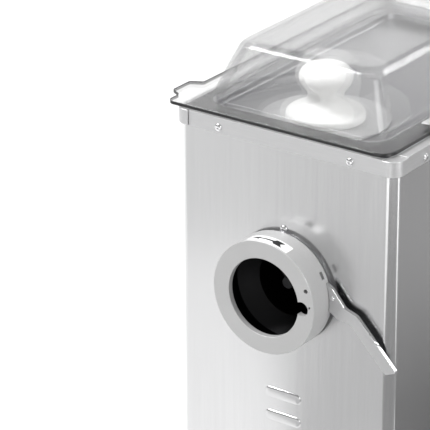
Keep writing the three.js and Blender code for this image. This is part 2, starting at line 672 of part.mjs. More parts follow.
// Worm: a core with one wide flight, its section turned steadily along the axis.
const WORM_FRONT_Y = 26;
const WORM_BACK_Y = BARREL_BACK_Y - 12;
const WORM_TURNS = 2.3;
const STUD_R = 8;
const STUD_DEPTH = 25;
const SPIGOT = 28; // length of the drive shaft's nose inside the worm
function worm() {
  const [core, tip, steps, around] = [16, CHAMBER_R - 2.5, 30, 18];
  const points = [];
  for (let i = 0; i < around; i += 1) {
    const angle = (i / around) * Math.PI * 2;
    const lobe = Math.max(0, Math.cos(angle)) ** 1.6;
    const r = core + (tip - core) * lobe;
    points.push([r * Math.cos(angle), r * Math.sin(angle)]);
  }
  const length = WORM_BACK_Y - WORM_FRONT_Y;
  const bar = new THREE.ExtrudeGeometry(polygon(points), { depth: length, steps, bevelEnabled: false });
  const position = bar.attributes.position;
  for (let i = 0; i < position.count; i += 1) {
    const turn = (position.getZ(i) / length) * WORM_TURNS * Math.PI * 2;
    const [x, y] = [position.getX(i), position.getY(i)];
    position.setX(i, x * Math.cos(turn) - y * Math.sin(turn));
    position.setY(i, x * Math.sin(turn) + y * Math.cos(turn));
  }
  bar.rotateX(Math.PI / 2).translate(0, WORM_BACK_Y, HEAD_Z);
  const socketR = STUD_R + GAP;
  const frontSocket = rodY(socketR, WORM_FRONT_Y - 5, WORM_FRONT_Y + STUD_DEPTH + GAP, 0, HEAD_Z, 16);
  const backSocket = rodY(socketR, WORM_BACK_Y - SPIGOT - GAP, WORM_BACK_Y + 5, 0, HEAD_Z, 16);
  return cut(bar, frontSocket, backSocket);
}
add("worm", worm(), CAST_STEEL);
add("worm_stud", rodY(STUD_R, WORM_FRONT_Y - 18, WORM_FRONT_Y + STUD_DEPTH, 0, HEAD_Z, 16), CHROME);

// ---------------------------------------------------------------- drive
function gearShape(teeth, holeR, phase) {
  const pitchR = (GEAR_MODULE * teeth) / 2;
  const baseR = pitchR * Math.cos((20 * Math.PI) / 180);
  const [rootR, tipR] = [pitchR - 1.25 * GEAR_MODULE, pitchR + 0.92 * GEAR_MODULE];
  const involute = (r) => {
    const t = Math.acos(Math.min(1, baseR / r));
    return Math.tan(t) - t;
  };
  const halfPitch = Math.PI / (2 * teeth) - 0.22 / pitchR + involute(pitchR);
  const flank = [rootR, pitchR, tipR];
  const points = [];
  for (let i = 0; i < teeth; i += 1) {
    const middle = phase + (i / teeth) * Math.PI * 2;
    const spot = (r, side) => {
      const angle = middle + side * (halfPitch - involute(Math.max(r, baseR)));
      return [r * Math.cos(angle), r * Math.sin(angle)];
    };
    for (const r of flank) points.push(spot(r, -1));
    for (const r of [...flank].reverse()) points.push(spot(r, 1));
  }
  const shape = polygon(points);
  shape.holes.push(roundHole(0, 0, holeR, 12));
  return shape;
}
// A tooth of the gear points straight down, a gap of the pinion straight up.
const gearPhase = -Math.PI / 2;
const pinionPhase = Math.PI / 2 + Math.PI / PINION_TEETH;
const gearEnd = GEAR_Y + GEAR_THICK;
const outputGear = alongY(gearShape(GEAR_TEETH, SHAFT_R + GAP, gearPhase), GEAR_Y, gearEnd, 6);
add("output_gear", outputGear.translate(0, 0, HEAD_Z), BRASS);
const pinion = alongY(gearShape(PINION_TEETH, 8 + GAP, pinionPhase), GEAR_Y, gearEnd, 6);
add("motor_pinion", pinion.translate(0, 0, MOTOR_Z), CHROME);

const driveShaft = turnedY([
  [0, WORM_BACK_Y - SPIGOT],
  [STUD_R, WORM_BACK_Y - SPIGOT],
  [STUD_R, WORM_BACK_Y + 1],
  [SHAFT_R, WORM_BACK_Y + 1],
  [SHAFT_R, gearEnd + 8],
  [0, gearEnd + 8],
], 16);
add("drive_shaft", driveShaft.translate(0, 0, HEAD_Z), CHROME);

// Gearbox outline: the stretched circle that holds both gears.
function gearboxOutline(radius) {
  const shape = new THREE.Shape();
  shape.absarc(0, HEAD_Z, radius, 0, Math.PI);
  shape.absarc(0, MOTOR_Z, radius, Math.PI, Math.PI * 2);
  shape.closePath();
  return shape;
}
const GEARBOX_R = GEAR_MODULE * (GEAR_TEETH / 2 + 1) + 12;
const GEARBOX_FRONT_Y = BARREL_BACK_Y + 14;
function gearboxCase() {
  const block = alongY(gearboxOutline(GEARBOX_R), GEARBOX_FRONT_Y, gearEnd + 12, 8);
  const hollow = alongY(gearboxOutline(GEARBOX_R - 7), GEARBOX_FRONT_Y - 5, gearEnd + 4, 8);
  const rearSeat = rodY(SHAFT_R + 1, gearEnd, gearEnd + 9, 0, HEAD_Z);
  const motorHole = rodY(20, gearEnd, gearEnd + 20, 0, MOTOR_Z);
  return cut(block, hollow, rearSeat, motorHole);
}
add("gearbox_case", gearboxCase(), CAST_STEEL);
function gearboxCover() {
  const plate = gearboxOutline(GEARBOX_R);
  plate.holes.push(roundHole(0, HEAD_Z, 25));
  return alongY(plate, GEARBOX_FRONT_Y - 7, GEARBOX_FRONT_Y - GAP, 8);
}
add("gearbox_cover", gearboxCover(), CAST_STEEL);
const bearingR = 25 - GAP;
const bearingY = GEARBOX_FRONT_Y - 7;
add("shaft_bearing", ringY(SHAFT_R + GAP, bearingR, bearingY, bearingY + 12, 0, HEAD_Z), CHROME);
add("shaft_seal", ringY(SHAFT_R + GAP, 20, BARREL_BACK_Y + GAP, bearingY - GAP, 0, HEAD_Z), RUBBER);

function motorCase() {
  const [front, back, wall] = [MOTOR_FRONT_Y, MOTOR_BACK_Y, 8];
  return turnedY([
    [11, front],
    [MOTOR_R, front],
    [MOTOR_R, back],
    [11, back],
    [11, back - wall],
    [MOTOR_R - 14, back - wall],
    [MOTOR_R - 14, front + wall],
    [11, front + wall],
    [11, front],
  ], 24).translate(0, 0, MOTOR_Z);
}
add("motor_case", motorCase(), BLACK_PAINT);
const rotor = turnedY([
  [0, GEAR_Y - 6],
  [8, GEAR_Y - 6],
  [8, MOTOR_FRONT_Y + 14],
  [MOTOR_R - 16, MOTOR_FRONT_Y + 14],
  [MOTOR_R - 16, MOTOR_BACK_Y - 14],
  [8, MOTOR_BACK_Y - 14],
  [8, MOTOR_BACK_Y + 4],
  [0, MOTOR_BACK_Y + 4],
], 20);
add("motor_rotor", rotor.translate(0, 0, MOTOR_Z), DARK_STEEL);

// Bracket on the base that carries the motor and the gearbox.
function motorCradle() {
  const [x, y0, y1] = [70, MOTOR_FRONT_Y + 20, MOTOR_BACK_Y - 24];
  const shape = new THREE.Shape();
  const saddle = MOTOR_R + GAP;
  const floor = FOOT_HEIGHT + 3 + GAP;
  shape.moveTo(-x, floor);
  shape.lineTo(x, floor);
  shape.lineTo(x, floor + 4);
  shape.lineTo(x - 16, floor + 4);
  shape.lineTo(saddle * Math.cos(-0.55), MOTOR_Z + saddle * Math.sin(-0.55));
  shape.absarc(0, MOTOR_Z, saddle, -0.55, -Math.PI + 0.55, true);
  shape.lineTo(-x + 16, floor + 4);
  shape.lineTo(-x, floor + 4);
  shape.closePath();
  const window = alongY(roundRect(64, 70, 8, 0, floor + 50), y0 - 5, y1 + 5, 4);
  return cut(alongY(shape, y0, y1, 10), window);
}
add("motor_cradle", motorCradle(), BLACK_PAINT);

// ---------------------------------------------------------------- cooling
const COIL_R = CHAMBER_R + 7 + 5.5;
class HelixCurve extends THREE.Curve {
  constructor(radius, pitch, turns) {
    super();
    Object.assign(this, { radius, pitch, turns });
  }

  getPoint(t, target = new THREE.Vector3()) {
    const angle = t * this.turns * Math.PI * 2;
    const along = this.pitch * this.turns * t;
    return target.set(this.radius * Math.cos(angle), along, this.radius * Math.sin(angle));
  }
}
function coil(radius, pitch, turns, wire, stepsPerTurn, sidesOfWire) {
  const ring = Array.from({ length: sidesOfWire }, (_, i) => (i / sidesOfWire) * Math.PI * 2);
  const section = polygon(ring.map((a) => [wire * Math.cos(a), wire * Math.sin(a)]));
  const path = new HelixCurve(radius, pitch, turns);
  return new THREE.ExtrudeGeometry(section, { steps: Math.round(stepsPerTurn * turns), extrudePath: path });
}
// Cooling pipe round the barrel behind the throat.
add("cooling_coil", coil(COIL_R, 9, 4, 3, 14, 6).translate(0, THROAT_Y + THROAT_R + 8, HEAD_Z), COPPER);

const floorZ = FOOT_HEIGHT + 3 + GAP;
const canProfile = [[0, 6], [46, 6], [56, 18], [58, 60], [56, 100], [42, 122], [16, 130], [0, 130]];
const compressor = turnedZ(canProfile, 20).translate(-78, 110, floorZ - 6);
add("compressor", compressor, BLACK_PAINT);

function condenser() {
  const [x, y0, y1, z0, z1] = [96, DEPTH - 42, DEPTH - 16, floorZ, floorZ + 148];
  const block = box(-x, x, y0, y1, z0, z1);
  const grooves = [];
  for (let i = 0; i < 7; i += 1) {
    const low = z0 + 14 + i * 18;
    grooves.push(box(-x + 6, x - 6, y0 - 5, y0 + 10, low, low + 10));
  }
  return cut(block, ...grooves);
}
add("condenser", condenser(), DARK_STEEL);

function fan() {
  const hub = rodY(13, FAN_Y, FAN_Y + 14, 0, 0, 20);
  const blades = [0, 1, 2, 3, 4].map((i) => {
    const blade = box(10, FAN_R, -1, 1, -13, 13).rotateX(0.5).translate(0, FAN_Y + 7, 0);
    return blade.rotateY((i / 5) * Math.PI * 2);
  });
  return join(hub, ...blades).translate(0, 0, FAN_Z);
}
add("fan", fan(), BLACK_PLASTIC);
function fanMotor() {
  const can = rodY(17, FAN_Y - 34, FAN_Y - 1, 0, FAN_Z, 20);
  const stand = box(-12, 12, FAN_Y - 30, FAN_Y - 10, floorZ, FAN_Z - 8);
  const sole = box(-24, 24, FAN_Y - 34, FAN_Y - 6, floorZ, floorZ + 3);
  return join(can, stand, sole);
}
add("fan_motor", fanMotor(), BLACK_PAINT);

// ---------------------------------------------------------------- switches and cable gland
function switchPlate() {
  const plate = roundRect(38, 78, 6, BUTTON_Y, 422);
  for (const z of Object.values(BUTTON_ZS)) {
    plate.holes.push(roundHole(BUTTON_Y, z, 11.8));
  }
  return alongX(plate, half + GAP, half + 3, 6);
}
add("switch_plate", switchPlate(), BLACK_PLASTIC);
function switchBlock() {
  const block = box(half - 34, half - INSIDE, BUTTON_Y - 18, BUTTON_Y + 18, 384, 460);
  const wells = Object.values(BUTTON_ZS).map((z) => rodX(13, half - 26, half + 5, BUTTON_Y, z));
  return cut(block, ...wells);
}
add("switch_block", switchBlock(), BLACK_PLASTIC);
for (const [name, z] of Object.entries(BUTTON_ZS)) {
  const button = turnedY([[0, 0], [11, 0], [11, 18], [9.5, 19.6], [0, 20]], 24).rotateZ(-Math.PI / 2);
  const look = name === "start" ? GREEN_PLASTIC : RED_PLASTIC;
  add(`${name}_button`, button, look).position.set(half - 12, BUTTON_Y, z);
  const spring = coil(7.2, 3.2, 3.4, 0.8, 8, 4).rotateZ(-Math.PI / 2);
  add(`${name}_spring`, spring, CHROME).position.set(half - 24.8, BUTTON_Y, z);
}

const gland = turnedY([
  [5, DEPTH - 12],
  [7.4, DEPTH - 12],
  [7.4, DEPTH + GAP],
  [12, DEPTH + GAP],
  [12, DEPTH + 6],
  [9, DEPTH + 9],
  [7.5, DEPTH + 15],
  [5, DEPTH + 15],
  [5, DEPTH - 12],
], 16);
add("cable_gland", gland.translate(GLAND_X, 0, GLAND_Z), BLACK_PLASTIC);

// ---------------------------------------------------------------- origin under the middle
const whole = new THREE.Group();
whole.add(grinder);
const extent = new THREE.Box3().setFromObject(whole);
const middle = extent.getCenter(new THREE.Vector3());
grinder.position.set(-middle.x, -middle.y, 0);

export default whole;
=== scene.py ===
"""Looks for the counter-top meat grinder: a stainless cabinet with a grinding head,
a tray and white pusher under a clear lid, and the drive and cooling inside."""
import json
import math

import bmesh
import bpy
from mathutils import Matrix, Vector

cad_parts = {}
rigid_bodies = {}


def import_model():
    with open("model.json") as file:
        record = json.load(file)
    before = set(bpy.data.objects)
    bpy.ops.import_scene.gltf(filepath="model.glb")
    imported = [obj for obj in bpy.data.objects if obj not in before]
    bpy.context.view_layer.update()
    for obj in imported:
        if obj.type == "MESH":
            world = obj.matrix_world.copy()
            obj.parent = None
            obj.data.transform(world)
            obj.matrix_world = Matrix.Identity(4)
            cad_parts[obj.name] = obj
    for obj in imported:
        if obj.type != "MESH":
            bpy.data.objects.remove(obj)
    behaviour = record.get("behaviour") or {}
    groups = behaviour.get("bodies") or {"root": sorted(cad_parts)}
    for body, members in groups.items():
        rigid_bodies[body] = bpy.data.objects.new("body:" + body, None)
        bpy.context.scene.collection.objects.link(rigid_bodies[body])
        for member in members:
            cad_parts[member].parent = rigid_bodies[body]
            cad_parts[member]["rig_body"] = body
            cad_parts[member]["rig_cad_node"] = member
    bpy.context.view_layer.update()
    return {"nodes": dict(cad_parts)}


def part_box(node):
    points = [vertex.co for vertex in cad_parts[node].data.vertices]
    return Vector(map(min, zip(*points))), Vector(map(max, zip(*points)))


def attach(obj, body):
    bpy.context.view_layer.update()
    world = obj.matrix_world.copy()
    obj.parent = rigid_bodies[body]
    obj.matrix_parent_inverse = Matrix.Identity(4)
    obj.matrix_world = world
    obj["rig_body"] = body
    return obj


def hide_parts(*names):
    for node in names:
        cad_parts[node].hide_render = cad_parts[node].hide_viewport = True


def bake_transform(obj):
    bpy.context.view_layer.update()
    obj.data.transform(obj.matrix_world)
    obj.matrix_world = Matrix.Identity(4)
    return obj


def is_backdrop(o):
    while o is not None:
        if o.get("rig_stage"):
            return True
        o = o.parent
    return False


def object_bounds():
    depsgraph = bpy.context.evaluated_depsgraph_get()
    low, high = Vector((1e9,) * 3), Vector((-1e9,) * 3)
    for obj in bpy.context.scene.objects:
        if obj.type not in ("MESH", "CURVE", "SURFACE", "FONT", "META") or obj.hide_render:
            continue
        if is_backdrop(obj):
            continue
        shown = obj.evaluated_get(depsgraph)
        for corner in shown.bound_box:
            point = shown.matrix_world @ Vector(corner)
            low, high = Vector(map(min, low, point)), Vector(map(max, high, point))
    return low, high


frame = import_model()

# ---------------------------------------------------------------- where things are
MM = 0.001
TRIM_PROUD = 3
trim_low, trim_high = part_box("trim_front")
ring_low, ring_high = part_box("ring_nut")
back_low, back_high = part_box("back_panel")
pusher_low, pusher_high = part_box("pusher")
CENTRE_X = (trim_low.x + trim_high.x) / 2 / MM
FRONT_Y = trim_low.y / MM + TRIM_PROUD
TOP_Z = trim_high.z / MM
HEAD_Z = (ring_low.z + ring_high.z) / 2 / MM
DEPTH = back_high.y / MM - FRONT_Y
HALF = (back_high.x - back_low.x) / 2 / MM
THROAT_Y = (pusher_low.y + pusher_high.y) / 2 / MM - FRONT_Y
TRIM_BOTTOM = trim_low.z / MM
SHELL_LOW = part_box("cabinet_shell")[0].z / MM
SHELL_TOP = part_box("cabinet_shell")[1].z / MM
ACROSS, ALONG, UP = Vector((1, 0, 0)), Vector((0, 1, 0)), Vector((0, 0, 1))


def at(x, y, z):
    """A point from the cabinet's middle line, its front face and the ground, in millimetres."""
    return Vector(((CENTRE_X + x) * MM, (FRONT_Y + y) * MM, z * MM))


# ---------------------------------------------------------------- camera
AZIMUTH, ELEVATION, ROLL = math.radians(35.870), math.radians(23.644), math.radians(-0.308)
DISTANCE, ASIDE, BELOW, LENS = 3.42867, 0.08556, -0.08757, 230.29


def make_camera():
    """A long lens that looks down at the front right corner."""
    back = Vector((math.sin(AZIMUTH) * math.cos(ELEVATION),
                   -math.cos(AZIMUTH) * math.cos(ELEVATION), math.sin(ELEVATION)))
    level = Vector((math.cos(AZIMUTH), math.sin(AZIMUTH), 0))
    upright = back.cross(level)
    right = math.cos(ROLL) * level + math.sin(ROLL) * upright
    top = math.cos(ROLL) * upright - math.sin(ROLL) * level
    place = at(0, 0, HEAD_Z) + DISTANCE * back - ASIDE * right - BELOW * top
    data = bpy.data.cameras.new("camera")
    data.lens = LENS
    data.sensor_width = 36
    data.clip_start, data.clip_end = 0.1, 60
    camera = bpy.data.objects.new("camera", data)
    bpy.context.scene.collection.objects.link(camera)
    camera.matrix_world = Matrix.Translation(place) @ Matrix((right, top, back)).transposed().to_4x4()
    bpy.context.scene.camera = camera


make_camera()


# ---------------------------------------------------------------- materials
class Finish:
    """A material under construction: node helpers around one Principled shader."""

    def __init__(self, name, **sockets):
        self.material = bpy.data.materials.new(name)
        self.material.use_nodes = True
        self.tree = self.material.node_tree
        self.shader = self.tree.nodes["Principled BSDF"]
        for socket, value in sockets.items():
            self.shader.inputs[socket.replace("_", " ")].default_value = value
        self.place = self.tree.nodes.new("ShaderNodeTexCoord").outputs["Object"]

    def link(self, output, node, socket):
        self.tree.links.new(output, node.inputs[socket])

    def noise(self, stretch, detail=4, rough=0.6):
        """Noise whose grain has the stated fineness per metre along X, Y and Z."""
        mapping = self.tree.nodes.new("ShaderNodeMapping")
        mapping.inputs["Scale"].default_value = stretch
        self.link(self.place, mapping, "Vector")
        noise = self.tree.nodes.new("ShaderNodeTexNoise")
        noise.inputs["Scale"].default_value = 1
        noise.inputs["Detail"].default_value = detail
        noise.inputs["Roughness"].default_value = rough
        self.link(mapping.outputs["Vector"], noise, "Vector")
        return noise.outputs["Fac"]

    def spread(self, value, low, high, start=0.3, end=0.7):
        """Noise turned into a range of numbers."""
        node = self.tree.nodes.new("ShaderNodeMapRange")
        node.inputs["From Min"].default_value = start
        node.inputs["From Max"].default_value = end
        node.inputs["To Min"].default_value = low
        node.inputs["To Max"].default_value = high
        self.link(value, node, "Value")
        return node.outputs["Result"]

    def mix(self, factor, first, second):
        """Two tones or textures in shares that a number or a texture sets."""
        node = self.tree.nodes.new("ShaderNodeMix")
        node.data_type = "RGBA"
        for socket, value in ((6, first), (7, second)):
            if isinstance(value, tuple):
                node.inputs[socket].default_value = (*value, 1)
            else:
                self.link(value, node, socket)
        if isinstance(factor, float):
            node.inputs[0].default_value = factor
        else:
            self.link(factor, node, 0)
        return node.outputs[2]

    def colour(self, output):
        self.link(output, self.shader, "Base Color")

    def roughness(self, output):
        self.link(output, self.shader, "Roughness")

    def bump(self, height, strength, distance):
        node = self.tree.nodes.new("ShaderNodeBump")
        node.inputs["Strength"].default_value = strength
        node.inputs["Distance"].default_value = distance
        self.link(height, node, "Height")
        self.link(node.outputs["Normal"], self.shader, "Normal")


def shaded(tone, share):
    """A colour made darker or lighter."""
    return tuple(min(1.0, c * share) for c in tone)


def brushed_metal(name, tone, rough, grain, shade=0.04, marks=0.1):
    """Sheet metal with a grain in one direction and faint rolling marks."""
    made = Finish(name, Metallic=1.0)
    lines = made.noise(grain, 5, 0.65)
    clouds = made.noise((5, 5, 3), 3, 0.5)
    streaks = made.mix(made.spread(lines, 0, 1), shaded(tone, 1 - shade), shaded(tone, 1 + shade))
    made.colour(made.mix(made.spread(clouds, 0, 0.5), streaks, shaded(tone, 0.93)))
    wear = made.mix(0.5, made.spread(lines, rough - marks / 2, rough + marks / 2),
                    made.spread(clouds, rough - marks / 3, rough + marks / 3))
    made.roughness(wear)
    made.bump(lines, 0.05, 0.0002)
    return made.material


def grained_metal(name, tone, rough, fineness, strength, shade=0.08, metallic=1.0):
    """Blasted or cast metal: an even, speckled grain."""
    made = Finish(name, Metallic=metallic)
    grain = made.noise((fineness,) * 3, 5, 0.7)
    clouds = made.noise((22, 22, 22), 3, 0.5)
    dots = made.mix(made.spread(grain, 0, 1, 0.35, 0.65), shaded(tone, 1 - shade), shaded(tone, 1 + shade))
    made.colour(made.mix(made.spread(clouds, 0, 0.35), dots, shaded(tone, 0.9)))
    made.roughness(made.spread(grain, rough - 0.1, rough + 0.1))
    made.bump(grain, strength, 0.0004)
    return made.material


def moulded(name, tone, rough, fineness, strength, shade=0.06, **sockets):
    """Plastic, rubber or paint: a fine surface grain with slight changes of tone and gloss."""
    made = Finish(name, **sockets)
    grain = made.noise((fineness,) * 3, 3, 0.6)
    clouds = made.noise((14, 14, 14), 2, 0.5)
    made.colour(made.mix(made.spread(clouds, 0, 1), shaded(tone, 1 - shade), shaded(tone, 1 + shade)))
    made.roughness(made.spread(grain, rough - 0.06, rough + 0.06))
    made.bump(grain, strength, 0.0003)
    return made.material


def acrylic(name, tone, rough):
    """Clear sheet with the faintest haze and handling marks."""
    made = Finish(name, Transmission_Weight=1.0, IOR=1.47, Alpha=0.3)
    haze = made.noise((9, 9, 9), 4, 0.6)
    made.colour(made.mix(made.spread(haze, 0, 1), shaded(tone, 0.985), shaded(tone, 1.01)))
    made.roughness(made.spread(haze, rough, rough + 0.004))
    return made.material


STEEL = (0.70, 0.70, 0.705)
PANEL = brushed_metal("brushed_panel", STEEL, 0.22, (420, 420, 9))
TRIM = brushed_metal("trim_steel", (0.69, 0.69, 0.695), 0.48, (26, 26, 700), 0.05, 0.12)
TRAY = brushed_metal("tray_steel", (0.42, 0.42, 0.43), 0.32, (500, 30, 500), 0.03, 0.08)
LEVER = brushed_metal("lever_steel", (0.66, 0.66, 0.665), 0.34, (160, 160, 160), 0.05, 0.14)
POLISHED = brushed_metal("polished_steel", (0.88, 0.88, 0.89), 0.1, (90, 90, 90), 0.03, 0.05)
RING = grained_metal("blasted_ring", (0.53, 0.53, 0.53), 0.5, 1500, 0.3, 0.12, metallic=0.45)
BARREL = grained_metal("machined_barrel", (0.66, 0.66, 0.67), 0.36, 900, 0.12)
# Near-black for the bore: painted shade of the deep mouth and chamber, which little light reaches.
BORE = grained_metal("bore_painted_shade", (0.025, 0.025, 0.026), 0.5, 700, 0.2)
# Near-black for the worm: painted shade, as it sits deep in the dark bore; the steel itself is brighter.
WORM = grained_metal("worm_painted_shade", (0.05, 0.05, 0.052), 0.45, 700, 0.2)
CAST = grained_metal("cast_case", (0.55, 0.55, 0.56), 0.5, 500, 0.4, 0.12)
DARK_STEEL = grained_metal("dark_steel", (0.05, 0.05, 0.055), 0.5, 600, 0.2, 0.15)
BRASS = grained_metal("brass_gear", (0.60, 0.38, 0.12), 0.32, 600, 0.1, 0.1)
COPPER = grained_metal("copper_pipe", (0.62, 0.28, 0.15), 0.34, 300, 0.1, 0.14)
WHITE = moulded("white_pusher", (0.93, 0.93, 0.92), 0.32, 900, 0.05, shade=0.01)
BLACK = moulded("black_plastic", (0.018, 0.018, 0.02), 0.42, 1400, 0.3, shade=0.2)
GREEN = moulded("green_plastic", (0.03, 0.27, 0.07), 0.34, 900, 0.1)
RED = moulded("red_plastic", (0.46, 0.02, 0.015), 0.34, 900, 0.1)
RUBBER = moulded("foot_rubber", (0.022, 0.022, 0.023), 0.75, 1100, 0.4, shade=0.25)
PAINT = moulded("black_paint", (0.02, 0.02, 0.022), 0.36, 260, 0.2, shade=0.2, Coat_Weight=0.3)
LABEL = moulded("label_film", (0.93, 0.93, 0.93), 0.14, 500, 0.03, shade=0.01, Coat_Weight=0.6)
INK = moulded("label_ink", (0.012, 0.012, 0.013), 0.4, 900, 0.1, shade=0.2)
CLEAR = acrylic("clear_acrylic", (0.978, 0.980, 0.982), 0.002)
# Near-black for the cut edges of the lid: painted shade standing in for the dark look that refraction gives
# the edges of clear sheet.
EDGE = moulded("acrylic_edge_painted_shade", (0.012, 0.012, 0.013), 0.16, 300, 0.04, shade=0.2)
SEAL = moulded("lid_seal", (0.03, 0.03, 0.031), 0.55, 800, 0.2, shade=0.1)


# ---------------------------------------------------------------- modelling helpers
def deselect():
    bpy.ops.object.select_all(action="DESELECT")


def activate(piece):
    deselect()
    piece.select_set(True)
    bpy.context.view_layer.objects.active = piece


def edit():
    bpy.ops.object.mode_set(mode="EDIT")


def leave():
    bpy.ops.object.mode_set(mode="OBJECT")


def start(shape, **settings):
    """Adds a primitive at its size and place and opens it for editing."""
    deselect()
    scale = settings.pop("scale", (1, 1, 1))
    getattr(bpy.ops.mesh, f"primitive_{shape}_add")(**settings)
    bpy.context.object.scale = scale
    bpy.ops.object.transform_apply(location=True, rotation=True, scale=True)
    edit()
    bpy.ops.mesh.select_mode(type="VERT")
    return bpy.context.object


def block(low, high):
    """A box between two corners, open for editing."""
    middle = (low + high) / 2
    return start("cube", size=1, location=middle, scale=high - low)


def pick(mode, test):
    """Selects only the vertices, edges or faces that pass the test."""
    bpy.ops.mesh.select_mode(type=mode)
    bpy.ops.mesh.select_all(action="DESELECT")
    mesh = bmesh.from_edit_mesh(bpy.context.object.data)
    for item in {"VERT": mesh.verts, "EDGE": mesh.edges, "FACE": mesh.faces}[mode]:
        if test(item):
            item.select_set(True)
    mesh.select_flush_mode()
    bmesh.update_edit_mesh(bpy.context.object.data)


def pick_all():
    bpy.ops.mesh.select_mode(type="VERT")
    bpy.ops.mesh.select_all(action="SELECT")


def extrude(offset):
    bpy.ops.mesh.extrude_region_move(TRANSFORM_OT_translate={"value": offset})


def ease_rims(axis, width):
    """Rounds the rims of the flat faces that look along an axis."""
    pick("FACE", lambda face: abs(face.normal.dot(axis)) > 0.9)
    bpy.ops.mesh.region_to_loop()
    bpy.ops.mesh.bevel(offset=width * MM, segments=3, affect="EDGES", clamp_overlap=True)


def heal():
    """Closes seams and poles and turns the faces outwards."""
    pick_all()
    bpy.ops.mesh.remove_doubles(threshold=2e-6)
    bpy.ops.mesh.normals_make_consistent(inside=False)


def trace(points):
    """Draws a line point by point from a single vertex."""
    line = start("plane", size=MM, location=points[0])
    bpy.ops.mesh.merge(type="CENTER")
    for before, after in zip(points, points[1:]):
        extrude(after - before)
    return line


def soften(corners, steps, closed=True):
    """Rounds the corners of a flat outline: each corner is (a, b) or (a, b, radius)."""
    made = []
    count = len(corners)
    for i, (a, b, *radius) in enumerate(corners):
        here = Vector((a, b))
        inner = closed or 0 < i < count - 1
        if not radius or not inner:
            made.append(here)
            continue
        before = (Vector(corners[i - 1][:2]) - here).normalized()
        after = (Vector(corners[(i + 1) % count][:2]) - here).normalized()
        half_angle = math.acos(max(-1, min(1, before.dot(after)))) / 2
        reach = radius[0] / math.tan(half_angle)
        first, last = here + before * reach, here + after * reach
        centre = here + (before + after).normalized() * (radius[0] / math.sin(half_angle))
        sweep = (first - centre).angle_signed(last - centre)
        for k in range(steps + 1):
            turned_by = Matrix.Rotation(-sweep * k / steps, 2)
            made.append(centre + turned_by @ (first - centre))
    return made


def plate(corners, to_point, thickness, steps):
    """A flat outline filled and given a thickness along a direction."""
    outline = [to_point(p) for p in soften(corners, steps)]
    piece = trace(outline)
    pick_all()
    bpy.ops.mesh.edge_face_add()
    pick("FACE", lambda face: True)
    extrude(thickness)
    heal()
    return piece


def turned(profile, centre, axis, steps, closed=False):
    """A turned piece: a profile of (radius, height) spun about an axis through the centre."""
    side = UP if abs(axis.x) > 0.5 else ACROSS
    points = [centre + side * (p[0] * MM) + axis * (p[1] * MM) for p in profile]
    if closed:
        points.append(points[0])
    piece = trace(points)
    pick_all()
    bpy.ops.mesh.spin(steps=steps, angle=math.tau, center=centre, axis=axis)
    heal()
    return piece


def closed_off(piece):
    """Leaves the editing of a finished tool."""
    leave()
    return piece


def stacked(width, depth, radius, centre, levels, segments):
    """A rounded block whose outline draws in level by level: levels are (inset, height)."""
    inset, height = levels[0]
    base = at(centre[0], centre[1], height)
    size = Vector((width - 2 * inset, depth - 2 * inset, 1)) * MM
    piece = start("plane", size=1, location=base, scale=size)
    pick_all()
    bpy.ops.mesh.bevel(offset=radius * MM, segments=segments, affect="VERTICES")
    pick("FACE", lambda face: True)
    for (inset0, z0), (inset1, z1) in zip(levels, levels[1:]):
        extrude(UP * (z1 - z0) * MM)
        share = ((width - 2 * inset1) / (width - 2 * inset0), (depth - 2 * inset1) / (depth - 2 * inset0), 1)
        bpy.ops.transform.resize(value=share, center_override=at(centre[0], centre[1], z1))
    heal()
    return piece


def modify(piece, kind, **settings):
    """Adds a modifier with its settings and applies it."""
    activate(piece)
    modifier = piece.modifiers.new(kind.lower(), kind)
    for key, value in settings.items():
        setattr(modifier, key, value)
    bpy.ops.object.modifier_apply(modifier=modifier.name)


def combine(piece, tool, operation="DIFFERENCE"):
    """Joins, cuts or keeps the overlap of two closed shapes, and removes the tool."""
    modify(piece, "BOOLEAN", object=tool, operation=operation, solver="EXACT")
    bpy.data.objects.remove(tool)


def rod(radius, centre, axis, length, segments):
    """A plain round cutter."""
    turn = axis.to_track_quat("Z", "Y").to_euler()
    tool = start("cylinder", radius=radius * MM, depth=length * MM, vertices=segments,
                 location=centre, rotation=turn)
    leave()
    return tool


def paint_faces(piece, slot_number, part):
    """Gives the faces that pass the test another of the piece's finishes."""
    activate(piece)
    edit()
    pick("FACE", part)
    piece.active_material_index = slot_number
    bpy.ops.object.material_slot_assign()
    leave()


def finished(piece, name, material, body, nodes, angle=35):
    """Names a piece, smooths it, says what it rides on and hides the CAD parts it takes the place of."""
    if bpy.context.object and bpy.context.object.mode == "EDIT":
        leave()
    activate(piece)
    piece.name = piece.data.name = name
    if not piece.data.materials:
        piece.data.materials.append(material)
    bpy.ops.object.shade_smooth_by_angle(angle=math.radians(angle))
    modify(piece, "WEIGHTED_NORMAL", keep_sharp=True)
    if body:
        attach(piece, body)
    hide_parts(*nodes)
    return piece


def refined(node, material, body, width, segments):
    """A CAD node's own shape with its seams closed and its edges eased."""
    activate(frame["nodes"][node])
    bpy.ops.object.duplicate()
    piece = bpy.context.object
    piece.parent = None
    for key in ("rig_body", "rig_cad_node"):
        del piece[key]
    edit()
    pick_all()
    bpy.ops.mesh.remove_doubles(threshold=1e-6)
    bpy.ops.mesh.dissolve_limited(angle_limit=math.radians(0.6))
    leave()
    piece.data.materials.clear()
    modify(piece, "BEVEL", width=width * MM, segments=segments, limit_method="ANGLE",
           angle_limit=math.radians(40), miter_outer="MITER_ARC", use_clamp_overlap=True)
    return finished(piece, f"{node}_shaped", material, body, [node])


# ---------------------------------------------------------------- cabinet
CORNER_R = 12
CORNER_FLAT, BEND = 10, 2.6
SHEET = 2
NECK_HOLE_R = 72
NECK_SCREW_Z = HEAD_Z + 76.5
BOSS_ZS = [142, 109, 76]
BUTTON_Y, BUTTON_ZS, BUTTON_HOLE_R = 170, [440, 404], 13


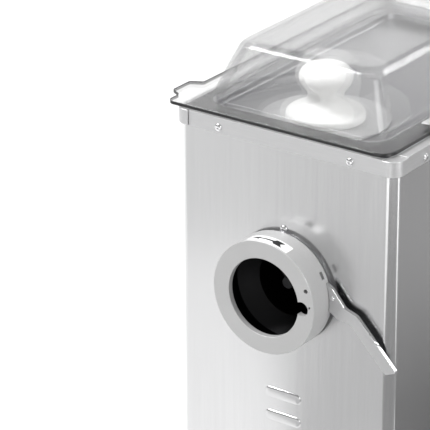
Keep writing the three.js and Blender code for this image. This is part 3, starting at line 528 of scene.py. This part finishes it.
def pressed_boss(z):
    """A low pill-shaped boss pressed out of the front panel."""
    reach, tall, proud = 27.5, 7.5, 2
    pill = start("uv_sphere", segments=48, ring_count=24, radius=1, location=at(0, 0, z),
                 rotation=(0, math.pi / 2, 0), scale=(tall * MM, proud * MM, tall * MM))
    middle = at(0, 0, z).x
    for side in (-1, 1):
        pick("VERT", lambda v: side * (v.co.x - middle) > 0.0002)
        bpy.ops.transform.translate(value=ACROSS * (side * (reach - tall) * MM))
    leave()
    return pill


def folded_box(low, high, flat, bend):
    """A box whose upright front corners are folded twice, with a narrow flat between the folds."""
    box = block(low, high)

    def upright(e):
        a, b = (v.co for v in e.verts)
        return abs(a.x - b.x) < 1e-5 and abs(a.y - b.y) < 1e-5

    pick("EDGE", lambda e: upright(e) and abs(e.verts[0].co.y - low.y) < 1e-5)
    bpy.ops.mesh.bevel(offset=flat * MM, segments=1, affect="EDGES")
    pick("EDGE", lambda e: upright(e) and e.verts[0].co.y < low.y + (flat + 1) * MM)
    bpy.ops.mesh.bevel(offset=bend * MM, segments=6, affect="EDGES")
    leave()
    return box


def cabinet_shell():
    """The front and sides in one folded sheet, with the neck opening, bosses and button holes."""
    shell = folded_box(at(-HALF, 0, SHELL_LOW), at(HALF, DEPTH - SHEET, SHELL_TOP), CORNER_FLAT, BEND)
    hollow = folded_box(at(-HALF + SHEET, SHEET, SHELL_LOW - 20),
                        at(HALF - SHEET, DEPTH + 20, SHELL_TOP + 20),
                        CORNER_FLAT - SHEET * 0.6, BEND * 0.6)
    for z in BOSS_ZS:
        combine(shell, pressed_boss(z), "UNION")
    combine(shell, hollow)
    combine(shell, rod(NECK_HOLE_R, at(0, 0, HEAD_Z), ALONG, 20, 96))
    for z in BUTTON_ZS:
        combine(shell, rod(BUTTON_HOLE_R, at(HALF, BUTTON_Y, z), ACROSS, 20, 48))
    finished(shell, "cabinet_wrap", PANEL, "cabinet", ["cabinet_shell"], 30)


cabinet_shell()

CAP_FRONT_X, CAP_SIDE_Y, CAP_PROUD, GAP = 143, 22, 4.5, 0.3


def corner_cap(end, side):
    """A rounded corner cap of the top trim, hollowed where it sits over the cabinet."""
    sx = 1 if side == "right" else -1
    y_of = (lambda y: y) if end == "front" else (lambda y: DEPTH - y)
    cabinet_r = CORNER_R if end == "front" else 1

    def boxed(x0, x1, y0, y1, z0, z1, radius, segments):
        xs, ys = sorted((sx * x0, sx * x1)), sorted((y_of(y0), y_of(y1)))
        made = block(at(xs[0], ys[0], z0), at(xs[1], ys[1], z1))
        corner = at(sx * x1, y_of(y0), 0)
        pick("EDGE", lambda e: all(abs(v.co.x - corner.x) < 1e-5 and abs(v.co.y - corner.y) < 1e-5
                                   for v in e.verts))
        bpy.ops.mesh.bevel(offset=radius * MM, segments=segments, affect="EDGES")
        return made

    outer = CORNER_R + CAP_PROUD
    cap = boxed(CAP_FRONT_X, HALF + CAP_PROUD, -CAP_PROUD, CAP_SIDE_Y, TRIM_BOTTOM, TOP_Z, outer, 14)
    ease_rims(UP, 1.1)
    leave()
    inner = boxed(CAP_FRONT_X - 9, HALF + GAP, -GAP, CAP_SIDE_Y + 9, TRIM_BOTTOM - 9, TOP_Z - 2.2,
                  cabinet_r + GAP, 12)
    leave()
    combine(cap, inner)
    finished(cap, f"trim_corner_{end}_{side}", TRIM, "cabinet",
             [f"corner_cap_{end}_{side}"], 30)


for end in ("front", "back"):
    for side in ("left", "right"):
        corner_cap(end, side)
for side in ("front", "back", "left", "right"):
    refined(f"trim_{side}", TRIM, "cabinet", 0.5, 3)
refined("back_panel", PANEL, "cabinet", 0.4, 2)
refined("base_plate", PANEL, "cabinet", 0.4, 2)

# Rubber feet.
FOOT_TOP = SHELL_LOW - GAP
foot_profile = soften([(0, 0), (13.2, 0, 1.5), (17.9, FOOT_TOP - 4, 4), (17.9, FOOT_TOP, 0.8),
                       (0, FOOT_TOP)], 5, False)
for end in ("front", "back"):
    for side in ("left", "right"):
        low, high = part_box(f"foot_{end}_{side}")
        centre = Vector(((low.x + high.x) / 2, (low.y + high.y) / 2, 0))
        foot = turned(foot_profile, centre, UP, 48)
        finished(foot, f"rubber_{end}_{side}", RUBBER, "cabinet", [f"foot_{end}_{side}"], 40)


# ---------------------------------------------------------------- screws
SCREW_HEAD_R, SCREW_HEAD_H, SCREW_RIM_H, SCREW_SHANK_R, SCREW_SOCKET_R = 5, 2.8, 0.7, 2, 1.75


def button_screw(node, seat, outward, shank):
    """A domed button-head screw with a hexagon socket."""
    dome = [(0, -shank), (SCREW_SHANK_R, -shank), (SCREW_SHANK_R, 0), (SCREW_HEAD_R, 0),
            (SCREW_HEAD_R, SCREW_RIM_H)]
    for k in range(1, 9):
        turn = k / 8 * math.pi / 2
        height = SCREW_RIM_H + (SCREW_HEAD_H - SCREW_RIM_H) * math.sin(turn)
        dome.append((SCREW_HEAD_R * math.cos(turn), height))
    screw = turned(dome, seat, outward, 40)
    leave()
    combine(screw, rod(SCREW_SOCKET_R, seat + outward * (SCREW_HEAD_H * MM), outward, 3.6, 6))
    finished(screw, f"{node}_head", POLISHED, "cabinet", [node], 40)


OUTWARD = {"front": -ALONG, "back": ALONG, "left": -ACROSS, "right": ACROSS}
TAGS = {"front": ("left", "right"), "back": ("left", "right"),
        "left": ("front", "back"), "right": ("front", "back")}
SCREWS = [(f"trim_screw_{face}_{tag}", OUTWARD[face], 5.3) for face, tags in TAGS.items() for tag in tags]
for node, outward, shank in SCREWS + [("neck_screw", -ALONG, 12)]:
    low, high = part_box(node)
    seat = (low + high) / 2 + outward * (abs(outward.dot(high - low)) / 2 - SCREW_HEAD_H * MM)
    button_screw(node, seat, outward, shank)

# ---------------------------------------------------------------- grinding head
RING_FRONT, RING_BACK, RING_R, RING_HOLE_R, RING_BORE_R, RING_PLATE = -45, -6, 75.4, 52, 71, 8
THREAD_R, MOUTH_R, CHAMBER_R, BARREL_BACK = 70.6, 65, 45, 172
head = at(0, 0, HEAD_Z)


def round_head(radius, degrees, y):
    """A point round the head's axis."""
    turn = math.radians(degrees)
    return at(radius * math.cos(turn), y, HEAD_Z + radius * math.sin(turn))


def ring_nut():
    """The ring nut: a plate with a hole and a notch, a skirt, and a spanner slot in its side."""
    inner = RING_FRONT + RING_PLATE
    profile = soften([
        (RING_HOLE_R, RING_FRONT, 0.7), (RING_R, RING_FRONT, 1.1), (RING_R, RING_BACK, 0.9),
        (RING_BORE_R, RING_BACK, 0.3), (RING_BORE_R, inner, 1), (RING_HOLE_R, inner, 0.5)], 3)
    ring = turned(profile, head, ALONG, 128, True)
    leave()
    depth = RING_PLATE + 14
    for radius, degrees, size, sides in ((57, 0, 9.5, 48), (68, 22, 3, 24), (69, 4, 1.4, 16)):
        combine(ring, rod(size, round_head(radius, degrees, RING_FRONT + 4), ALONG, depth, sides))
    slit = block(at(66, RING_FRONT - 4, HEAD_Z + 2.9), at(69, RING_FRONT + 10, HEAD_Z + 3.7))
    leave()
    combine(ring, slit)
    slot = block(at(RING_BORE_R - 3, -16.5, HEAD_Z - 5), at(RING_R + 4, -11.5, HEAD_Z + 5))
    pick_all()
    bpy.ops.transform.rotate(value=math.radians(28.5), orient_axis="Y", center_override=head)
    leave()
    combine(ring, slot)
    finished(ring, "ring_collar", RING, "ring", ["ring_nut"], 30)


ring_nut()


def band(radius, wall, first, last, y0, y1, steps=32):
    """Part of a thin tube round the head's axis, between two angles and two depths."""
    corners = [(radius, y0), (radius + wall, y0), (radius + wall, y1), (radius, y1), (radius, y0)]
    start_turn = math.radians(first)
    out = Vector((math.cos(start_turn), 0, math.sin(start_turn)))
    points = [head + out * (r * MM) + ALONG * (y * MM) for r, y in corners]
    strip = trace(points)
    pick_all()
    bpy.ops.mesh.remove_doubles(threshold=1e-7)
    bpy.ops.mesh.edge_face_add()
    pick("FACE", lambda face: True)
    bpy.ops.mesh.spin(steps=steps, angle=math.radians(last - first), center=head, axis=ALONG)
    heal()
    return strip


def label_and_arrow():
    """The turning-direction label round the ring, with a plain fletched arrow."""
    film = band(RING_R + 0.05, 0.16, 64.5, 112, RING_FRONT + 1.8, RING_FRONT + 18)
    finished(film, "turn_label", LABEL, "ring", [], 30)
    ink = band(RING_R + 0.22, 0.14, 66, 110, RING_FRONT + 2.4, RING_FRONT + 17.4, 64)
    leave()
    middle = RING_FRONT + 10
    outline = [(-24, 0), (-13, -3.4), (-14.5, -0.9), (6, -1.5), (9, -5.4), (21, -5.4), (16.5, 0),
               (21, 5.4), (9, 5.4), (6, 1.5), (-14.5, 0.9), (-13, 3.4)]
    prism = plate(outline, lambda p: at(p[0] + 2, middle + p[1], HEAD_Z + 60), UP * 30 * MM, 1)
    leave()
    combine(ink, prism, "INTERSECT")
    finished(ink, "turn_arrow", INK, "ring", [], 30)


label_and_arrow()


BAR_FRONT, BAR_THICK, PIN_X, PIN_RISE, PIN_HOLE_R = -11.9, 5.4, 81, 8, 2.4


def lever():
    """The ring's spanner lever: a flat bar with a joggle, and the pin that holds it."""
    arc = [round_head(RING_R + GAP, turn, 0) for turn in range(-8, 21, 4)]
    root = [((p.x - head.x) / MM, (p.z - head.z) / MM) for p in arc]
    outline = root + [(79.5, 21.5, 5), (98.7, -1.2, 9), (116, -6.6, 9), (175, -67.5, 2.2),
                      (158.5, -74.2, 2.2), (105.5, -18.8, 9), (88.4, -18.6, 7)]
    bar = plate(outline, lambda p: at(p[0], BAR_FRONT, HEAD_Z + p[1]), ALONG * BAR_THICK * MM, 6)
    ease_rims(ALONG, 0.7)
    leave()
    combine(bar, rod(PIN_HOLE_R, at(PIN_X, -9, HEAD_Z + PIN_RISE), ALONG, 20, 24))
    for finish in (LEVER, POLISHED, DARK_STEEL):
        bar.data.materials.append(finish)
    paint_faces(bar, 1, lambda f: abs(f.normal.y) < 0.8)
    # The back face, turned to the panel, gets the near-black finish: painted shade, so that its reflection
    # in the panel shows as a dark band.
    paint_faces(bar, 2, lambda f: f.normal.y > 0.8)
    finished(bar, "lever_bar", LEVER, "ring", ["lever"], 32)
    dome = [(0, BAR_THICK), (2.1, BAR_THICK), (2.1, 0.1)]
    for k in range(6):
        turn = k / 5 * math.pi / 2
        dome.append((2.7 * math.cos(turn), -0.3 - 1.1 * math.sin(turn)))
    pin = turned(dome, at(PIN_X, BAR_FRONT, HEAD_Z + PIN_RISE), ALONG, 24)
    finished(pin, "lever_pin", POLISHED, "ring", ["lever_rivet"], 40)


lever()


def barrel():
    """The head's barrel: threaded nose, collar, chamber and the neck to the tray."""
    front, wall, collar, shaft_hole = RING_FRONT + RING_PLATE + GAP, 7, THREAD_R + 15, 13
    profile = [(CHAMBER_R, 12), (MOUTH_R, -8), (MOUTH_R, front), (THREAD_R, front)]
    pitch = 2.4
    y = front + 1
    while y < 3:
        profile += [(THREAD_R, y), (THREAD_R - 1.3, y + pitch * 0.4), (THREAD_R, y + pitch * 0.8)]
        y += pitch
    profile += [(THREAD_R, 5), (collar, 5), (collar, 12), (CHAMBER_R + wall + 6, 12),
                (CHAMBER_R + wall, 30), (CHAMBER_R + wall, BARREL_BACK), (shaft_hole, BARREL_BACK),
                (shaft_hole, BARREL_BACK - 10), (CHAMBER_R, BARREL_BACK - 10)]
    body = turned(profile, head, ALONG, 96, True)
    leave()
    neck_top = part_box("head_barrel")[1].z / MM
    neck = rod(33, at(0, THROAT_Y, (HEAD_Z + 40 + neck_top) / 2), UP, neck_top - HEAD_Z - 40, 64)
    combine(neck, rod(CHAMBER_R + 1, at(0, THROAT_Y, HEAD_Z), ALONG, 140, 96))
    combine(body, neck, "UNION")
    combine(body, rod(30, at(0, THROAT_Y, HEAD_Z + 60), UP, 120, 64))
    combine(body, rod(2.4, at(0, 8, NECK_SCREW_Z), ALONG, 30, 24))
    body.data.materials.append(BARREL)
    body.data.materials.append(BORE)

    def inside(face):
        out = face.calc_center_median() - head
        out.y = 0
        return out.length < (MOUTH_R + 1.5) * MM and face.normal.dot(out) < 0

    # The faces inside the mouth and chamber get the near-black bore finish: painted shade.
    paint_faces(body, 1, inside)
    finished(body, "barrel_body", BARREL, "cabinet", ["head_barrel"], 30)


barrel()
# The worm and its stud get the near-black worm finish: painted shade.
refined("worm", WORM, "worm_drive", 0.8, 2)
refined("worm_stud", WORM, "worm_drive", 0.8, 3)

# ---------------------------------------------------------------- tray, throat and pusher
TRAY_FLOOR = TOP_Z - 10
TRAY_RIM = 11
THROAT_BORE_R, THROAT_R = 30, 33


def meat_tray():
    """The shallow pan under the lid, with a rolled rim and the throat's hole."""
    low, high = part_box("meat_tray")
    width, depth = (high.x - low.x) / MM, (high.y - low.y) / MM
    top = high.z / MM
    middle = (0, DEPTH / 2)
    rim = stacked(width, depth, 6, middle, [(0, top - 1.5), (0, top - 0.4), (0.4, top)], 6)
    leave()
    pan_w, pan_d = width - 2 * TRAY_RIM, depth - 2 * TRAY_RIM
    under = [(4.5, TRAY_FLOOR - 1.5), (1.8, TRAY_FLOOR - 1), (0.5, TRAY_FLOOR + 1), (0, top - 0.7)]
    pan = stacked(pan_w, pan_d, 24, middle, under, 10)
    leave()
    combine(rim, pan, "UNION")
    inside = [(6, TRAY_FLOOR), (3.6, TRAY_FLOOR + 0.5), (2.2, TRAY_FLOOR + 2), (1.6, top - 1.2),
              (1.0, top - 0.3), (0.2, top + 0.1), (0.2, top + 6)]
    combine(rim, closed_off(stacked(pan_w, pan_d, 24, middle, inside, 10)))
    combine(rim, rod(THROAT_R + 1, at(0, THROAT_Y, TRAY_FLOOR), UP, 18, 96))
    finished(rim, "tray_pan", TRAY, "cabinet", ["meat_tray"], 25)


meat_tray()


def feed_throat():
    """The tube the meat drops through, with its wide flat collar on the tray floor."""
    low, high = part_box("feed_throat")
    top, bottom = high.z / MM, low.z / MM
    wide = (high.x - low.x) / 2 / MM
    under = TRAY_FLOOR + GAP
    profile = soften([
        (THROAT_BORE_R, bottom), (THROAT_R, bottom), (THROAT_R, under), (wide, under, 0.3),
        (wide, top, 0.7), (THROAT_BORE_R, top, 1.8)], 4)
    tube = turned(profile, at(0, THROAT_Y, 0), UP, 128, True)
    leave()
    trim_off = block(at(-120, -60, TRAY_FLOOR - 2), at(120, low.y / MM - FRONT_Y, top + 5))
    leave()
    combine(tube, trim_off)
    finished(tube, "throat_tube", TRIM, "cabinet", ["feed_throat"], 30)


feed_throat()


def bezier(p0, p1, p2, p3, steps):
    """Points along a cubic curve with two end points and two handles."""
    made = []
    for k in range(steps + 1):
        t = k / steps
        made.append(tuple((1 - t) ** 3 * a + 3 * (1 - t) ** 2 * t * b + 3 * (1 - t) * t * t * c + t ** 3 * d
                          for a, b, c, d in zip(p0, p1, p2, p3)))
    return made


def pusher():
    """The white meat pusher: a stem, a flat bell and a knob to hold it by."""
    t = TOP_Z
    foot = pusher_low.z / MM
    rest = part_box("feed_throat")[1].z / MM + GAP
    profile = soften([(0, foot), (27, foot, 2), (27, rest, 0.6), (50, rest, 1.5), (50, t - 1.5)], 4, False)
    profile += bezier((50, t - 1.5), (50, t + 2.5), (47, t + 3.5), (44, t + 5), 6)[1:]
    profile += bezier((44, t + 5), (34, t + 9.5), (22.5, t + 12), (22.5, t + 23), 10)[1:]
    profile += bezier((22.5, t + 23), (22.5, t + 32), (34, t + 36), (34, t + 47), 10)[1:]
    profile += bezier((34, t + 47), (34, t + 59), (20, t + 65), (0, t + 65), 12)[1:]
    piece = turned(profile, at(0, THROAT_Y, 0), UP, 96)
    finished(piece, "pusher_body", WHITE, "pusher", ["pusher"], 40)


pusher()

# ---------------------------------------------------------------- clear lid
LID_LEFT, LID_RIGHT, LID_THICK, DOME_HEIGHT, MARGIN, WALL = -178, 148, 5, 75, 33, 3
LID_TAB, SEAL_LEFT, SEAL_INSET = LID_LEFT - 16, -157, 3


def dome_levels(offset, foot):
    """How far the dome's wall has drawn in at each height."""
    top = TOP_Z + LID_THICK + DOME_HEIGHT - offset
    low = TOP_Z + LID_THICK
    if offset == 0:
        levels = [(-3.5, foot), (-3.5, low), (-1.6, low + 0.5), (-0.2, low + 1.8), (0.8, low + 4)]
    else:
        levels = [(offset, foot), (offset - 0.2, low - 1), (offset + 0.8, low + 4)]
    for k in range(1, 7):
        t = k / 6
        levels.append((offset + 0.8 + 22.2 * t ** 1.12, low + 4 + (top - 14 - low - 4) * t))
    arc = bezier((23, top - 14), (26, top - 5), (33, top - 0.2), (47, top), 10)
    levels += [(offset + inset, height) for inset, height in arc[1:]]
    return levels


def lid():
    """The one-piece clear lid: a flange with a finger tab, and a hollow dome."""
    outline = [(LID_LEFT, 0, 9), (LID_RIGHT, 0, 22), (LID_RIGHT, DEPTH, 22), (LID_LEFT, DEPTH, 9),
               (LID_LEFT, 78, 3), (LID_TAB, 69, 4), (LID_TAB, 34, 4), (LID_LEFT, 25, 3)]
    flange = plate(outline, lambda p: at(p[0], p[1], TOP_Z + GAP), UP * (LID_THICK - GAP) * MM, 8)
    ease_rims(UP, 0.6)
    leave()
    centre = ((LID_LEFT + LID_RIGHT) / 2, DEPTH / 2)
    width, depth = LID_RIGHT - LID_LEFT - 2 * MARGIN, DEPTH - 2 * MARGIN
    outer = stacked(width, depth, 30, centre, dome_levels(0, TOP_Z + 2), 14)
    leave()
    combine(flange, outer, "UNION")
    inner = stacked(width, depth, 28, centre, dome_levels(WALL, TOP_Z - 5), 14)
    leave()
    combine(flange, inner)
    flange.data.materials.append(CLEAR)
    flange.data.materials.append(EDGE)
    margin = MARGIN - 6
    low, high = at(LID_LEFT + margin, margin, 0), at(LID_RIGHT - margin, DEPTH - margin, TOP_Z + LID_THICK)

    def cut_edge(face):
        spot = face.calc_center_median()
        over_dome = low.x <= spot.x <= high.x and low.y <= spot.y <= high.y
        return spot.z < high.z and abs(face.normal.z) < 0.8 and not over_dome

    # The cut edges of the flange get the near-black edge finish: painted shade.
    paint_faces(flange, 1, cut_edge)
    finished(flange, "lid_dome", CLEAR, "lid", ["lid"], 28)


lid()


def lid_seal():
    """A thin dark seal stuck under the flange of the lid, round the foot of the dome."""
    z0, z1 = TOP_Z + 0.02, TOP_Z + 0.25
    right = LID_RIGHT - SEAL_INSET
    outer = stacked(right - SEAL_LEFT, DEPTH - 2 * SEAL_INSET, 8, ((SEAL_LEFT + right) / 2, DEPTH / 2),
                    [(0, z0), (0.3, z1)], 6)
    leave()
    width, depth = LID_RIGHT - LID_LEFT - 2 * MARGIN, DEPTH - 2 * MARGIN
    middle = ((LID_LEFT + LID_RIGHT) / 2, DEPTH / 2)
    combine(outer, closed_off(stacked(width, depth, 28, middle, [(0, z0 - 5), (0, z1 + 5)], 8)))
    finished(outer, "lid_seal_strip", SEAL, "lid", [], 30)


lid_seal()
refined("hinge_leaf", POLISHED, "cabinet", 0.35, 2)
refined("lid_leaf", POLISHED, "lid", 0.35, 2)
refined("hinge_pin", POLISHED, "cabinet", 0.3, 2)

# ---------------------------------------------------------------- switches and gland
refined("switch_plate", BLACK, "cabinet", 0.8, 3)
for name, colour, paint in (("start", "green", GREEN), ("stop", "red", RED)):
    low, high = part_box(f"{name}_button")
    middle = (low + high) / 2
    root = Vector((low.x, middle.y, middle.z))
    tall = (high.x - low.x) / MM
    profile = soften([(0, 0), (11, 0, 0.4), (11, tall - 0.6, 1.6), (7, tall, 3), (0, tall - 0.5)], 5, False)
    button = turned(profile, root, ACROSS, 64)
    finished(button, f"{name}_cap", paint, name, [f"{name}_button"], 40)
    spring = refined(f"{name}_spring", POLISHED, None, 0.05, 1)
    low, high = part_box(f"{name}_spring")
    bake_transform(spring)


def cable_gland():
    """The cable gland in the back panel: a nut, a collar and a short sleeve."""
    low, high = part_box("cable_gland")
    centre = Vector(((low.x + high.x) / 2, 0, (low.z + high.z) / 2))
    d = FRONT_Y + DEPTH
    profile = soften([
        (5, d - 12), (7.4, d - 12, 0.4), (7.4, d + GAP), (12, d + GAP, 0.3),
        (12, d + 6, 0.8), (9, d + 9, 0.8), (7.5, d + 15, 0.8), (5, d + 15, 0.6)], 4)
    gland = turned(profile, centre, ALONG, 48, True)
    finished(gland, "gland_body", BLACK, "cabinet", ["cable_gland"], 35)


cable_gland()

# ---------------------------------------------------------------- finishes of the carried-over parts
CARRIED = {
    CAST: ["top_frame", "gearbox_case", "gearbox_cover"],
    POLISHED: ["drive_shaft", "motor_pinion", "shaft_bearing"],
    DARK_STEEL: ["motor_rotor", "condenser"],
    BRASS: ["output_gear"],
    COPPER: ["cooling_coil"],
    BLACK: ["switch_block", "fan"],
    RUBBER: ["shaft_seal"],
    PAINT: ["motor_case", "motor_cradle", "compressor", "fan_motor"],
}
for material, nodes in CARRIED.items():
    for node in nodes:
        frame["nodes"][node].data.materials.clear()
        frame["nodes"][node].data.materials.append(material)


# ---------------------------------------------------------------- floor and lights
# Sheets of paper: name, middle in metres, width and length, turn in degrees, tone.
# All but the floor are cards that only reflections see.
PAPERS = (
    ("floor", (0.0, 0.0, 0.0), (16.0, 16.0), 0, 0.72),
    ("left_card", (-1.15, -1.15, 0.001), (1.3, 1.3), -36, 0.54),
    ("front_card", (-0.245, -0.91, 0.001), (0.36, 1.25), -36, 0.40),
    ("corner_card", (0.76, -0.66, 0.002), (1.2, 0.8), -36, 0.17),
    ("side_card", (0.95, 0.72, 0.001), (1.5, 1.5), 0, 0.21),
)
# Lamps: name, place, point aimed at, side in metres, watts.
LAMPS = (
    ("key", (-2.6, -1.2, 3.4), (0.0, 0.0, 0.3), 1.2, 60),
    ("back", (-1.5, 2.1, 1.5), (0.0, 0.0, 0.45), 1.8, 8),
    ("fill", (2.0, -0.4, 1.5), (0.0, -0.1, 0.4), 0.8, 22),
    ("behind", (0.95, 1.85, 1.6), (0.0, 0.0, 0.4), 1.0, 8),
    ("front_pool", (0.55, -1.6, 0.5), (0.55, -1.6, 0.0), 0.3, 3),
    ("side_pool", (1.4, 0.0, 0.5), (1.4, 0.0, 0.0), 0.3, 3),
)
SKY = 0.40
SUN, SUN_PLACE, SUN_WIDTH = 2.6, (-1.5, -0.9, 3.0), 25


def paper(name, tone):
    """Matt paper with a faint mottle."""
    made = Finish(name)
    grain = made.noise((3, 3, 3), 3)
    made.colour(made.mix(made.spread(grain, 0, 1), (tone,) * 3, (tone * 1.03,) * 3))
    made.roughness(made.spread(grain, 0.85, 0.95))
    return made.material


def lamp_at(name, kind, place, target, power):
    """A lamp at a place, aimed at a target."""
    data = bpy.data.lights.new(name, kind)
    data.energy = power
    lamp = bpy.data.objects.new(name, data)
    bpy.context.scene.collection.objects.link(lamp)
    lamp.location = place
    lamp.rotation_euler = (Vector(target) - Vector(place)).to_track_quat("-Z", "Y").to_euler()
    return data


def studio():
    """The floor, its reflection cards, the sky, the lamps and the sun."""
    for name, middle, (width, length), turn, tone in PAPERS:
        sheet = start("plane", size=1, location=middle, rotation=(0, 0, math.radians(turn)),
                      scale=(width, length, 1))
        leave()
        sheet.name = sheet.data.name = name
        sheet.data.materials.append(paper(name + "_paper", tone))
        sheet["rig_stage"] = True
        if name != "floor":
            for ray in ("camera", "diffuse", "shadow", "transmission"):
                setattr(sheet, f"visible_{ray}", False)
    world = bpy.data.worlds.new("studio")
    world.use_nodes = True
    world.node_tree.nodes["Background"].inputs["Color"].default_value = (1, 1, 1, 1)
    world.node_tree.nodes["Background"].inputs["Strength"].default_value = SKY
    bpy.context.scene.world = world
    for name, place, target, size, power in LAMPS:
        softbox = lamp_at(name, "AREA", place, target, power)
        softbox.shape = "SQUARE"
        softbox.size = size
    sun = lamp_at("sun", "SUN", SUN_PLACE, (0, 0, 0), SUN)
    sun.angle = math.radians(SUN_WIDTH)


studio()
bpy.context.scene.view_settings.view_transform = "Standard"

low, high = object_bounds()
